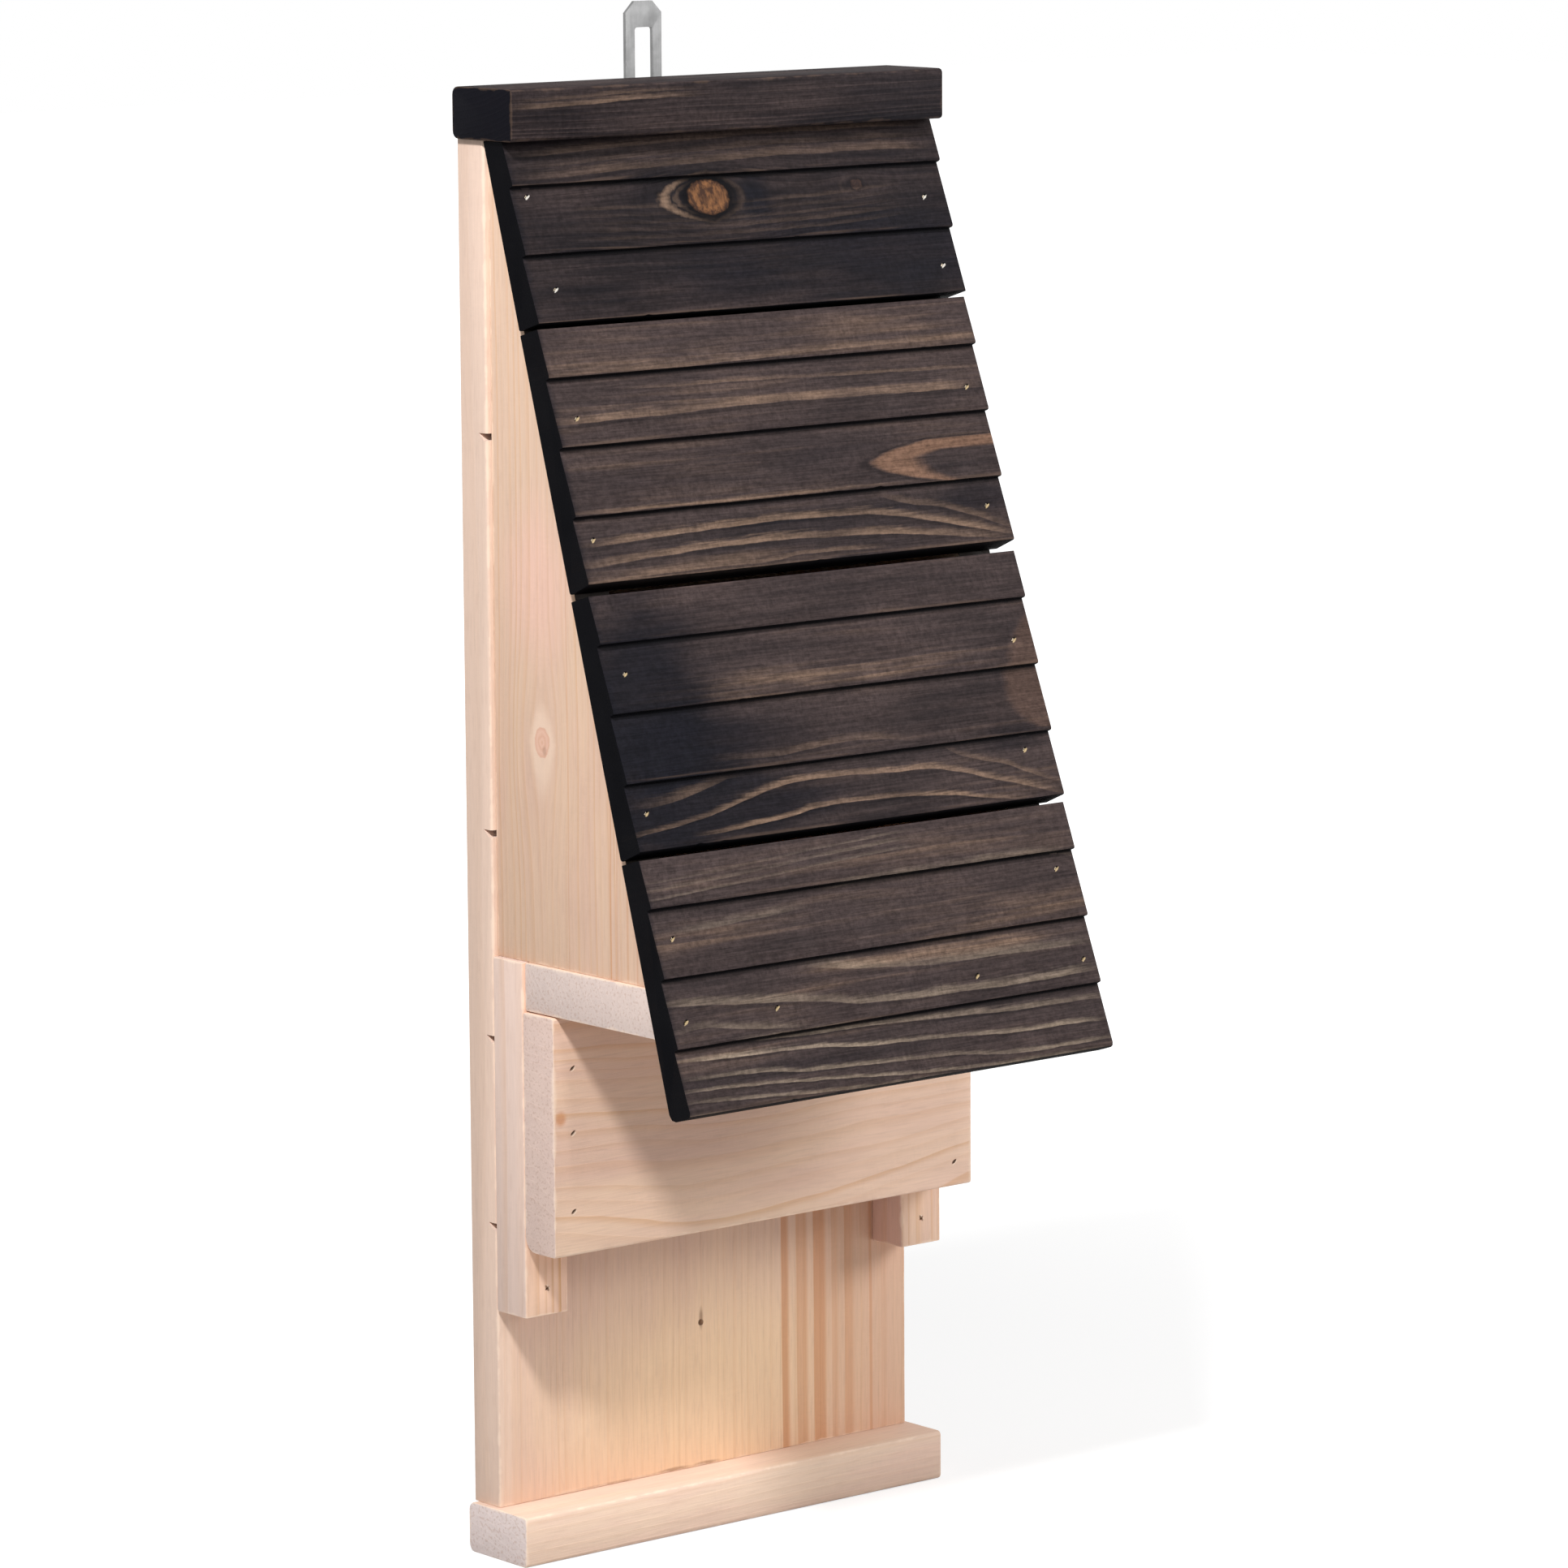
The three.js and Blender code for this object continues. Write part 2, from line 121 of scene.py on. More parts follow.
class Wire:
    """One output of a node."""

    __add__, __radd__ = sign("ADD"), sign("ADD", swapped=True)
    __sub__, __rsub__ = sign("SUBTRACT"), sign("SUBTRACT", swapped=True)
    __mul__, __rmul__ = sign("MULTIPLY"), sign("MULTIPLY", swapped=True)
    __truediv__, __mod__, __pow__ = sign("DIVIDE"), sign("MODULO"), sign("POWER")
    __gt__, __lt__ = sign("GREATER_THAN"), sign("LESS_THAN")

    def __init__(self, sketch, socket):
        self.sketch, self.socket = sketch, socket

    def __abs__(self):
        return self.sketch.math("ABSOLUTE", self)

    def ramp(self, low, high, start=0, end=1):
        """A smooth climb from start to end while the wire goes from low to high."""
        feeds = dict(enumerate((self, low, high, start, end)))
        return self.sketch.wire("ShaderNodeMapRange", feeds, interpolation_type="SMOOTHSTEP")


class Sketch:
    """Adds nodes to one tree and joins them."""

    def __init__(self, tree):
        self.tree = tree

    def feed(self, socket, value):
        if isinstance(value, Wire):
            self.tree.links.new(value.socket, socket)
        else:
            socket.default_value = value

    def node(self, kind, inputs=None, **settings):
        node = self.tree.nodes.new(kind)
        for key, value in settings.items():
            setattr(node, key, value)
        for key, value in (inputs or {}).items():
            self.feed(node.inputs[key], value)
        return node

    def wire(self, kind, inputs=None, out=0, **settings):
        return Wire(self, self.node(kind, inputs, **settings).outputs[out])

    def wires(self, node):
        return {socket.name: Wire(self, socket) for socket in node.outputs}

    def math(self, operation, *values):
        return self.wire("ShaderNodeMath", dict(enumerate(values)), operation=operation)

    def vector(self, operation, *values, out=0):
        feeds = dict(enumerate(values))
        return self.wire("ShaderNodeVectorMath", feeds, out, operation=operation)

    def scale(self, vector, by):
        return self.wire("ShaderNodeVectorMath", {0: vector, "Scale": by}, operation="SCALE")

    def split(self, vector):
        return list(self.wires(self.node("ShaderNodeSeparateXYZ", {0: vector})).values())

    def join(self, x, y, z):
        return self.wire("ShaderNodeCombineXYZ", {0: x, 1: y, 2: z})

    def noise(self, vector, stretch, detail=2, roughness=0.5):
        place = self.vector("MULTIPLY", vector, stretch)
        feeds = {"Vector": place, "Scale": 1, "Detail": detail, "Roughness": roughness}
        return self.wire("ShaderNodeTexNoise", feeds, "Fac")

    def chance(self, value):
        """A random share from 0 to 1 that belongs to a number."""
        return self.wire("ShaderNodeTexWhiteNoise", {"W": value}, noise_dimensions="1D")

    def mix(self, factor, first, second):
        return self.wire("ShaderNodeMix", {0: factor, 6: first, 7: second}, 2, data_type="RGBA")

    def group(self, group, **values):
        """A group placed in this tree. Its inputs are given by name, with _ for a space."""
        node = self.node("ShaderNodeGroup", None, node_tree=group)
        for key, value in values.items():
            self.feed(node.inputs[key.replace("_", " ")], value)
        return self.wires(node)


class Outlets:
    """The outputs of a group that is being drawn. Each is set by its name."""

    def __init__(self, sketch, sockets):
        self.sketch, self.sockets = sketch, sockets

    def __setitem__(self, name, wire):
        self.sketch.feed(self.sockets[name], wire)


SOCKETS = {
    float: "NodeSocketFloat", int: "NodeSocketInt", tuple: "NodeSocketVector",
    bpy.types.Material: "NodeSocketMaterial", bpy.types.Mesh: "NodeSocketGeometry",
}


def new_group(name, inputs, outputs, kind="ShaderNodeTree", sketch=Sketch):
    """An empty node group: its sketch, its input wires and its outlets. A value is a default."""
    tree = bpy.data.node_groups.new(name, kind)
    for way, labels in (("INPUT", inputs), ("OUTPUT", outputs)):
        for label, value in labels.items():
            is_bare = isinstance(value, type)
            socket_type = SOCKETS[value if is_bare else type(value)]
            socket = tree.interface.new_socket(label, in_out=way, socket_type=socket_type)
            if not is_bare:
                socket.default_value = value
    drawing = sketch(tree)
    entry = drawing.wires(tree.nodes.new("NodeGroupInput"))
    return drawing, entry, Outlets(drawing, tree.nodes.new("NodeGroupOutput").inputs)


def blank(owner):
    """A sketch on the emptied nodes of a material or a world."""
    owner.use_nodes = True
    owner.node_tree.nodes.clear()
    return Sketch(owner.node_tree)


print("a deep pine pink is", [round(level, 3) for level in srgb(214, 179, 159)])

# %% [markdown]
# ## Growth rings
# A board is a slice of a trunk, so its figure is where its faces cut the rings. A picture of wood
# could be wrapped round it, but then its edges and ends would not match. This group measures how
# far each point lies from the heart of the tree, adds a slow wander, and divides by the ring
# width. The fraction of that number climbs through pale early wood to a dense late line, and the
# whole number gives each ring its own strength.

# %% Rings group
ORIGIN = (0.0, 0.0, 0.0)


def make_rings():
    sketch, entry, close = new_group(
        "growth_rings",
        {"Vector": ORIGIN, "Heart": (0.0, 0.0, -0.05), "Bow": 0.0, "Ring Width": 0.004,
         "Wander": 0.004, "Late Start": 0.45},
        {"Late": float, "Strength": float},
    )
    x, y, z = sketch.split(entry["Vector"])
    _, heart_y, heart_z = sketch.split(entry["Heart"])
    y = y - heart_y - entry["Bow"] * x * x
    reach = sketch.vector("LENGTH", sketch.join(0, y, z - heart_z), out=1)
    slow = sketch.noise(entry["Vector"], (6, 22, 22), 1)
    quick = sketch.noise(entry["Vector"], (24, 120, 120), 2)
    drift = (slow + quick * 0.1 - 0.55) * entry["Wander"]
    count = (reach + drift) / entry["Ring Width"]
    uneven = sketch.wire("ShaderNodeTexNoise", {"W": count, "Scale": 0.45, "Detail": 0},
                         noise_dimensions="1D")
    count = count + uneven
    part = sketch.math("FRACT", count)
    close["Late"] = part.ramp(entry["Late Start"], 0.92) * part.ramp(0.94, 1.0, 1, 0)
    close["Strength"] = sketch.chance(sketch.math("FLOOR", count))
    return sketch.tree


RINGS = make_rings()
print("rings group", len(RINGS.nodes), "nodes")

# %% [markdown]
# ## Fibres
# Softwood shows finer things too: long fibres along the grain, short flecks across it where the
# planer or the brush touched, a few resin canals, a fine mottle, and slow clouds of colour. Noise
# stretched along one axis gives each of them, and the flecks come in patches, as they do on wood.

# %% Fibres group
def make_fibres():
    sketch, entry, close = new_group(
        "fibres", {"Vector": ORIGIN},
        {"Fibre": float, "Strand": float, "Fleck": float, "Canal": float, "Cloud": float,
         "Mottle": float},
    )
    place = entry["Vector"]
    patch = sketch.noise(place, (30, 60, 60), 2).ramp(0.4, 0.65, 0.25, 1)
    fleck = sketch.noise(place, (700, 260, 260), 3, 0.7).ramp(0.35, 0.7)
    close["Fibre"] = sketch.noise(place, (60, 1500, 1500), 2, 0.6)
    close["Strand"] = sketch.noise(place, (16, 400, 400), 2, 0.6)
    close["Fleck"] = fleck * patch
    close["Canal"] = sketch.noise(place, (110, 950, 950), 0).ramp(0.55, 0.75)
    close["Mottle"] = sketch.noise(place, (380, 620, 620), 3, 0.7)
    close["Cloud"] = sketch.noise(place, (9, 48, 48), 3, 0.6)
    return sketch.tree


FIBRES = make_fibres()
print("fibres group", len(FIBRES.nodes), "nodes")

# %% [markdown]
# ## Knots
# A knot is the foot of a branch. It shows as a small disc with its own tight rings, and the grain
# of the board flows round it. The group hands back a warp: added to the coordinates before the
# rings are grown, it parts the lines round the disc. The eye is the pointed outline of that
# parting, which stays pale on a stained board.

# %% Knot group
KNOT_RAG = 0.0016


def make_knot():
    sketch, entry, close = new_group(
        "knot",
        {"Vector": ORIGIN, "Centre": ORIGIN, "Radius": 0.004, "Stretch": 1.3, "Sway": 0.8,
         "Reach": 3.0, "Eye Left": 0.021, "Eye Right": 0.014, "Eye Height": 0.0078},
        {"Warp": tuple, "Disc": float, "Halo": float, "Ring": float, "Eye": float,
         "Lens": float},
    )
    place = sketch.vector("SUBTRACT", entry["Vector"], entry["Centre"])
    along, across, _ = sketch.split(place)
    ragged = (sketch.noise(entry["Vector"], (420, 420, 420), 2) - 0.5) * KNOT_RAG

    def distance(stretch):
        return sketch.vector("LENGTH", sketch.join(along / stretch, across, 0), out=1)

    disc = distance(entry["Stretch"]) + ragged
    share = disc / entry["Radius"]
    far = distance(entry["Stretch"] * 1.9) / (entry["Radius"] * entry["Reach"])
    bell = sketch.math("EXPONENT", far ** 2 * -1)
    push = bell * entry["Sway"] * across
    close["Warp"] = sketch.join(0, push * -1, 0)
    close["Disc"] = share.ramp(0.88, 1.05, 1, 0)
    close["Halo"] = share.ramp(0.75, 1.0) * share.ramp(1.0, 1.7, 1, 0)
    close["Ring"] = sketch.math("PINGPONG", share * 2.2, 0.5)
    length = (along > 0) * (entry["Eye Right"] - entry["Eye Left"]) + entry["Eye Left"]
    tall = (across / entry["Eye Height"]) ** 2
    wide = (abs(along) / length) ** 1.12
    reach = wide + tall + ragged * 140
    outer = abs(reach - 1).ramp(0.02, 0.2, 1, 0)
    inner = abs(reach - 0.7).ramp(0.02, 0.1, 0.3, 0)
    close["Eye"] = sketch.math("MAXIMUM", outer, inner) * along.ramp(-0.02, 0.001, 1, 0.16)
    close["Lens"] = reach.ramp(0.5, 1.25, 1, 0)
    return sketch.tree


KNOT = make_knot()
print("knot group", len(KNOT.nodes), "nodes")

# %% [markdown]
# ## Pools
# A pool is a soft-edged patch in one place, such as stain that soaked in deeper, a stretch of
# redder heartwood, or a patch of painted light. Noise along its rim keeps it from looking like a
# drawn oval.

# %% Pool group
def make_pool():
    sketch, entry, close = new_group(
        "pool",
        {"Vector": ORIGIN, "Centre": ORIGIN, "Size": (0.05, 0.02, 0.05), "Softness": 0.5,
         "Ragged": 0.5},
        {"Mask": float},
    )
    place = sketch.vector("SUBTRACT", entry["Vector"], entry["Centre"])
    share = sketch.vector("LENGTH", sketch.vector("DIVIDE", place, entry["Size"]), out=1)
    ragged = sketch.noise(entry["Vector"], (22, 75, 75), 3, 0.6)
    share = share + (ragged - 0.5) * entry["Ragged"] * 2
    close["Mask"] = share.ramp(1 - entry["Softness"], 1 + entry["Softness"], 1, 0)
    return sketch.tree


POOL = make_pool()
print("pool group", len(POOL.nodes), "nodes")

# %% [markdown]
# ## Families of streaks
# Late wood shows as a family of lines that follow one another, each sharp on its lower edge and
# fading upwards. The lowest line is given and the others lie a pitch apart above it. Each
# takes its own strength and width from its number, and fades in and out along its way. A thin
# dark edge of painted shade runs below the lowest.

# %% Streak group
STREAK_SWAY, STREAK_FADE = 0.0016, 0.03


def make_streaks():
    sketch, entry, close = new_group(
        "streaks",
        {"Vector": ORIGIN, "Line": 0.0, "Width": 0.0028, "Pitch": 0.005, "Count": 1.0,
         "Left": -0.1, "Right": 0.1, "Seed": 0.0},
        {"Mask": float, "Shade": float},
    )
    along, across, _ = sketch.split(entry["Vector"])
    sway = sketch.noise(entry["Vector"], (30, 25, 25), 2)
    bumps = sketch.noise(entry["Vector"], (130, 90, 90), 2)
    above = across + (bumps * 0.4 + sway - 0.7) * STREAK_SWAY - entry["Line"]
    number = sketch.math("FLOOR", above / entry["Pitch"])
    inside = (number > -0.5) * (number < entry["Count"] - 0.5)
    height = above - number * entry["Pitch"]
    own = sketch.chance(number + entry["Seed"])
    other = sketch.chance(number + (entry["Seed"] + 40))
    share = height / (entry["Width"] * other.ramp(0, 1, 0.8, 1.3))
    feather = sketch.noise(entry["Vector"], (75, 1100, 1100), 3, 0.65)
    high = (feather - 0.5) * 1.7 + share
    profile = share.ramp(0, 0.12) * high.ramp(0.35, 1.35, 1, 0)
    fade = sketch.join(along, number * 0.3, entry["Seed"])
    fade = sketch.noise(fade, (16, 1, 1), 2).ramp(0.36, 0.6, 0.45, 1)
    start = (along - entry["Left"]).ramp(0, STREAK_FADE)
    stop = (entry["Right"] - along).ramp(0, STREAK_FADE)
    shown = fade * start * stop
    close["Mask"] = profile * inside * shown * own.ramp(0, 1, 0.55, 1)
    below = above / entry["Width"]
    shade = below.ramp(-0.7, -0.2) * below.ramp(-0.1, 0.1, 1, 0)
    close["Shade"] = shade * shown
    return sketch.tree


STREAKS = make_streaks()
print("streak group", len(STREAKS.nodes), "nodes")

# %% [markdown]
# ## Flames
# Where a board is sawn close to the bark, a ring shows as a pointed flame that lies on its side
# and opens to the right. One parabola bounds it and a second one hollows it. Both open at their
# own rate above and below, because the tree's axis is seldom level. A dark rim lies outside.

# %% Flame group
FLAME_RAG = 0.007


def make_flame():
    sketch, entry, close = new_group(
        "flame",
        {"Vector": ORIGIN, "Apex": ORIGIN, "Above": 550.0, "Below": 390.0, "Length": 0.03,
         "Core Start": 0.025, "Core Above": 1300.0, "Core Below": 190.0, "Core Length": 0.012},
        {"Band": float, "Rim": float},
    )
    along, across, _ = sketch.split(sketch.vector("SUBTRACT", entry["Vector"], entry["Apex"]))
    ragged = sketch.noise(entry["Vector"], (90, 350, 50), 3, 0.65) - 0.5
    along = along + ragged * FLAME_RAG
    is_above = across > 0

    def depth_in(start, above, below, length):
        """How far a point lies inside a parabola. Its upper side runs level after a length."""
        run = along - start
        run = run - sketch.math("MAXIMUM", run - length, 0) * is_above
        spread = is_above * (above - below) + below
        return run - spread * across * across

    outer = depth_in(0, entry["Above"], entry["Below"], entry["Length"])
    core = depth_in(entry["Core Start"], entry["Core Above"], entry["Core Below"],
                    entry["Core Length"])
    close["Band"] = outer.ramp(0, 0.006) * core.ramp(-0.007, 0.004, 1, 0)
    rim = outer.ramp(-0.006, -0.001) * outer.ramp(0, 0.002, 1, 0)
    close["Rim"] = rim * ragged.ramp(-0.15, 0.1, 0.35, 1)
    return sketch.tree


FLAME = make_flame()
print("flame group", len(FLAME.nodes), "nodes")

# %% [markdown]
# ## Nail marks
# A nail gun leaves a slanted slit with a lip of torn, raw wood beside it. The slit is painted
# dark inside as shade. The marks of one board are chained: each group passes on the stronger of
# its own mark and the marks before it. The slant is kept as the cosine and the sine of its angle.

# %% Nail mark group
SLANT = (0.8, 0.6)
MARK_LENGTH, SLIT_BREADTH, TORN_BREADTH, TORN_SHIFT = 0.0014, 0.0006, 0.00042, 0.0006


def make_nail_mark():
    sketch, entry, close = new_group(
        "nail_mark",
        {"Vector": ORIGIN, "Centre": ORIGIN, "Pressed": 0.0, "Torn": 0.0},
        {"Pressed": float, "Torn": float},
    )
    place = sketch.vector("SUBTRACT", entry["Vector"], entry["Centre"])
    along, across, _ = sketch.split(place)
    ragged = sketch.noise(entry["Vector"], (900, 900, 900), 2) - 0.5
    slant = along * SLANT[0] + across * SLANT[1]
    level = along * SLANT[1] - across * SLANT[0]

    def oval(shift, breadth, rough):
        place = sketch.join(slant / MARK_LENGTH, (level - shift) / breadth, 0)
        return sketch.vector("LENGTH", place, out=1) + ragged * rough

    slit_shade = oval(0, SLIT_BREADTH, 0.6).ramp(0.7, 1.2, 1, 0)
    torn = oval(TORN_SHIFT, TORN_BREADTH, 1.0).ramp(0.55, 1.15, 1, 0)
    close["Pressed"] = sketch.math("MAXIMUM", slit_shade, entry["Pressed"])
    close["Torn"] = sketch.math("MAXIMUM", torn, entry["Torn"])
    return sketch.tree


NAIL_MARK = make_nail_mark()
print("nail mark group", len(NAIL_MARK.nodes), "nodes")

# %% [markdown]
# ## Worn arrises
# An arris is the sharp edge of a board. Hands and weather rub it pale. On a box-shaped board the
# nearest face is at distance nought, and the second nearest tells how far the edge is.

# %% Arris group
def make_arris():
    sketch, entry, close = new_group(
        "worn_arris",
        {"Vector": ORIGIN, "Low": ORIGIN, "High": (1.0, 1.0, 1.0), "Width": 0.0012},
        {"Mask": float},
    )
    low = sketch.vector("SUBTRACT", entry["Vector"], entry["Low"])
    high = sketch.vector("SUBTRACT", entry["High"], entry["Vector"])
    gaps = sketch.split(sketch.vector("MAXIMUM", sketch.vector("MINIMUM", low, high), ORIGIN))
    least = sketch.math("MINIMUM", gaps[0], sketch.math("MINIMUM", gaps[1], gaps[2]))
    most = sketch.math("MAXIMUM", gaps[0], sketch.math("MAXIMUM", gaps[1], gaps[2]))
    second = gaps[0] + (gaps[1] + gaps[2]) - least - most
    patchy = sketch.noise(entry["Vector"], (90, 90, 90), 3, 0.65)
    width = entry["Width"] * patchy.ramp(0.35, 0.75, 0.2, 1.8)
    close["Mask"] = (second / width).ramp(0.2, 1, 1, 0)
    return sketch.tree


ARRIS = make_arris()
print("arris group", len(ARRIS.nodes), "nodes")

# %% [markdown]
# ## One start for every board
# Each board gets grain coordinates: x along its grain, y across its width, and z out of its best
# face, with the origin on that face. A Mapping node set to Texture does this. Knots, streaks,
# pools and nail marks are then written as places on the board, as a joiner would mark them.

# %% Grain coordinates
def grain_turn(grain, out):
    """The turn whose axes are a board's grain, its width and the way its best face looks."""
    grain, out = Vector(grain), Vector(out)
    return Matrix((grain, out.cross(grain), out)).transposed().to_euler()


POOL_DEPTH, BUMP_DEPTH, STRIPE_SWAY, STREAK_PAST = 0.2, 0.0004, 0.003, 12


class Board:
    """The start of a board's material: its place, its figure and the marks on it."""

    def __init__(self, name, face, grain, out, knots=(), marks=(), **growth):
        self.material = bpy.data.materials.new(name)
        sketch = self.sketch = blank(self.material)
        texture = sketch.wires(sketch.node("ShaderNodeTexCoord"))
        self.object_place, self.normal = texture["Object"], texture["Normal"]
        feeds = {"Vector": self.object_place, "Location": face, "Rotation": grain_turn(grain, out)}
        self.place = sketch.wire("ShaderNodeMapping", feeds, vector_type="TEXTURE")
        self.end = self.facing(grain)
        self.edge = self.facing(Vector(out).cross(Vector(grain)))
        figure = self.place
        self.knots = []
        for x, y, radius, more in knots:
            values = {"Vector": self.place, "Centre": (x * MM, y * MM, 0), "Radius": radius * MM}
            knot = sketch.group(KNOT, **values, **more)
            self.knots.append(knot)
            figure = sketch.vector("ADD", figure, knot["Warp"])
        self.rings = sketch.group(RINGS, Vector=figure, **growth)
        self.fibres = sketch.group(FIBRES, Vector=figure)
        self.slit_shade = self.torn = 0.0
        for x, y in marks:
            mark = sketch.group(NAIL_MARK, Vector=self.place, Centre=(x, y, 0),
                                Pressed=self.slit_shade, Torn=self.torn)
            self.slit_shade, self.torn = mark["Pressed"], mark["Torn"]

    def facing(self, direction):
        """1 where the surface looks along a direction or against it, else 0."""
        turned = self.sketch.vector("DOT_PRODUCT", self.normal, tuple(direction), out=1)
        return abs(turned).ramp(0.6, 0.9)

    def paint(self, tone, mask):
        """Lay a tone over the colour so far where the mask is 1."""
        self.colour = self.sketch.mix(mask, self.colour, tone)

    def worn(self, node):
        """The rubbed arrises of a box-shaped board, from the box of its node."""
        low, high = map(tuple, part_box(node))
        return self.sketch.group(ARRIS, Vector=self.object_place, Low=low, High=high)["Mask"]

    def pool(self, x, y, wide, tall, softness=0.5, ragged=0.5):
        size = (wide * MM, tall * MM, POOL_DEPTH)
        return self.sketch.group(POOL, Vector=self.place, Centre=(x * MM, y * MM, 0), Size=size,
                                 Softness=softness, Ragged=ragged)["Mask"]

    def flame(self, x, y, low, outer, core):
        """A flame's band and rim, down to the step at y = low."""
        parts = self.sketch.group(
            FLAME, Vector=self.place, Apex=(x * MM, y * MM, 0), Above=outer[0], Below=outer[1],
            Length=outer[2] * MM, Core_Start=core[0] * MM, Core_Above=core[1], Core_Below=core[2],
            Core_Length=core[3] * MM)
        shown = self.sketch.split(self.place)[1] > low * MM
        return [parts[key] * shown for key in ("Band", "Rim")]

    def stripe(self, low, high, soft):
        """A band along the grain between two places across the width."""
        sway = self.sketch.noise(self.place, (9, 9, 9), 2)
        across = self.sketch.split(self.place)[1] + (sway - 0.5) * STRIPE_SWAY
        rise = across.ramp(low * MM, (low + soft) * MM)
        return rise * across.ramp((high - 0.6) * MM, high * MM, 1, 0)

    def streaks(self, points, width, seed, pitch=9.0, count=1):
        """Streaks above a line through points (x, y), all in mm on the board."""
        left, right = points[0][0], points[-1][0]
        low, high = min(y for _, y in points) - 1, max(y for _, y in points) + 1
        sketch = self.sketch
        along = sketch.split(self.place)[0] / MM
        share = sketch.wire("ShaderNodeMapRange", {0: along, 1: left, 2: right})
        curve = sketch.node("ShaderNodeFloatCurve", {"Value": share})
        line = curve.mapping.curves[0]
        spots = [((x - left) / (right - left), (y - low) / (high - low)) for x, y in points]
        line.points[0].location, line.points[1].location = spots[0], spots[-1]
        for spot in spots[1:-1]:
            line.points.new(*spot)
        curve.mapping.update()
        feeds = {0: Wire(sketch, curve.outputs[0]), 3: low * MM, 4: high * MM}
        height = sketch.wire("ShaderNodeMapRange", feeds)
        return sketch.group(STREAKS, Vector=self.place, Line=height, Width=width * MM,
                            Pitch=pitch * MM, Count=float(count), Left=(left - STREAK_PAST) * MM,
                            Right=(right + STREAK_PAST) * MM, Seed=float(seed))

    def finish(self, roughness, height, bump, specular):
        sketch = self.sketch
        feeds = {"Height": height, "Strength": bump, "Distance": BUMP_DEPTH}
        normal = sketch.wire("ShaderNodeBump", feeds)
        shader = sketch.wire("ShaderNodeBsdfPrincipled", {
            "Base Color": self.colour, "Roughness": roughness, "Normal": normal,
            "Specular IOR Level": specular,
        })
        sketch.node("ShaderNodeOutputMaterial", {"Surface": shader})
        return self.material


turn = grain_turn((0, 0, 1), (-1, 0, 0))
print("a side panel's grain is turned by", [round(angle, 2) for angle in turn])

# %% [markdown]
# ## Planed pine
# Fresh pine is pale and pinkish, and its late wood is only a little browner than its early wood.
# A slow cloud moves each board between its own cream and its own blush, and a bloom gives one
# region its own tone; the pale blooms on the lower board and the yellow one low on the back board
# are painted light instead. Stripes are brown growth bands, edges and ends have their own colour,
# and the side panels' narrow edges are painted nearly black as shade seen through the gaps
# between the roof boards.
# region its own tone. Stripes are brown growth bands, edges and ends have their own colour, and
# the side panels' front edges are inked by stain that ran in between the roof boards.

# %% Pine finish
PINE_LATE, PINE_BAND, PINE_PALE = srgb(206, 156, 110), srgb(196, 128, 78), srgb(250, 226, 204)
PINE_KNOT, PINE_KNOT_RING = srgb(212, 158, 134), srgb(236, 196, 176)
PINE_HEART, PINE_SLIT_SHADE = srgb(120, 82, 62), srgb(96, 64, 40)
PINE_PORE, PINE_EDGE_SHADE = srgb(178, 146, 128), srgb(20, 17, 18)


def pine(name, face, grain, out, node, early, blush, edge=None, end=None, contrast=0.3,
         edge_contrast=0.6, inked=0.0, stripes=(), blooms=(), spots=(), **board):
    """A pine board's material. Tones are given, and places are in mm on the board."""
    wood = Board(name, face, grain, out, **board)
    sketch = wood.sketch
    cloud = wood.fibres["Cloud"].ramp(0.34, 0.66)
    wood.colour = sketch.mix(cloud, srgb(*early), srgb(*blush))
    if edge:
        wood.paint(srgb(*edge), wood.edge)
    # some blooms are painted light: paler patches where light falls
    for *bloom, tone, strength in blooms:
        wood.paint(srgb(*tone), wood.pool(*bloom) * strength)
    own = wood.rings["Strength"].ramp(0, 1, 0.25, 1)
    line = wood.rings["Late"] * own * wood.edge.ramp(0, 1, 1, edge_contrast)
    wood.paint(PINE_LATE, line * contrast)
    for *stripe, strength in stripes:
        wood.paint(PINE_BAND, wood.stripe(*stripe) * strength)
    wood.paint(srgb(*(end or blush)), wood.end * 0.85)
    fibre = wood.fibres["Fibre"].ramp(0.25, 0.75, 0.97, 1.025)
    strand = wood.fibres["Strand"].ramp(0.25, 0.75, 0.975, 1.02)
    wood.colour = sketch.scale(wood.colour, fibre * strand - wood.fibres["Fleck"] * 0.03)
    wood.paint(PINE_PORE, wood.fibres["Canal"] * wood.end.ramp(0, 1, 0.1, 0.38))
    for knot in wood.knots:
        wood.paint(PINE_PALE, knot["Lens"] * 0.35)
        ring = sketch.mix(knot["Ring"], PINE_KNOT, PINE_KNOT_RING)
        wood.paint(ring, knot["Disc"] * 0.7)
    for x, y, wide, tall, strength in spots:
        mask = wood.pool(x, y, wide, tall, 0.6, 0.6) * strength
        wood.paint(PINE_HEART, mask * (1 - wood.end))
    # painted shade: the narrow edges, seen through the gaps between the roof boards, are darkened
    # nearly black
    if inked:
        wood.paint(PINE_EDGE_SHADE, wood.edge * inked)
    height = wood.rings["Late"] * 0.3 + wood.fibres["Fibre"] * 0.5
    wood.paint(PINE_PALE, wood.worn(node) * 0.45)
    if board.get("marks"):
        wood.paint(PINE_PALE, wood.torn * 0.9)
        # painted shade: the inside of each nail slit is darkened
        wood.paint(PINE_SLIT_SHADE, wood.slit_shade * 0.8)
    roughness = wood.rings["Late"].ramp(0, 1, 0.74, 0.62)
    return wood.finish(roughness, height, 0.3, 0.2)


print("late pine wood is", [round(level, 2) for level in PINE_LATE[:3]])
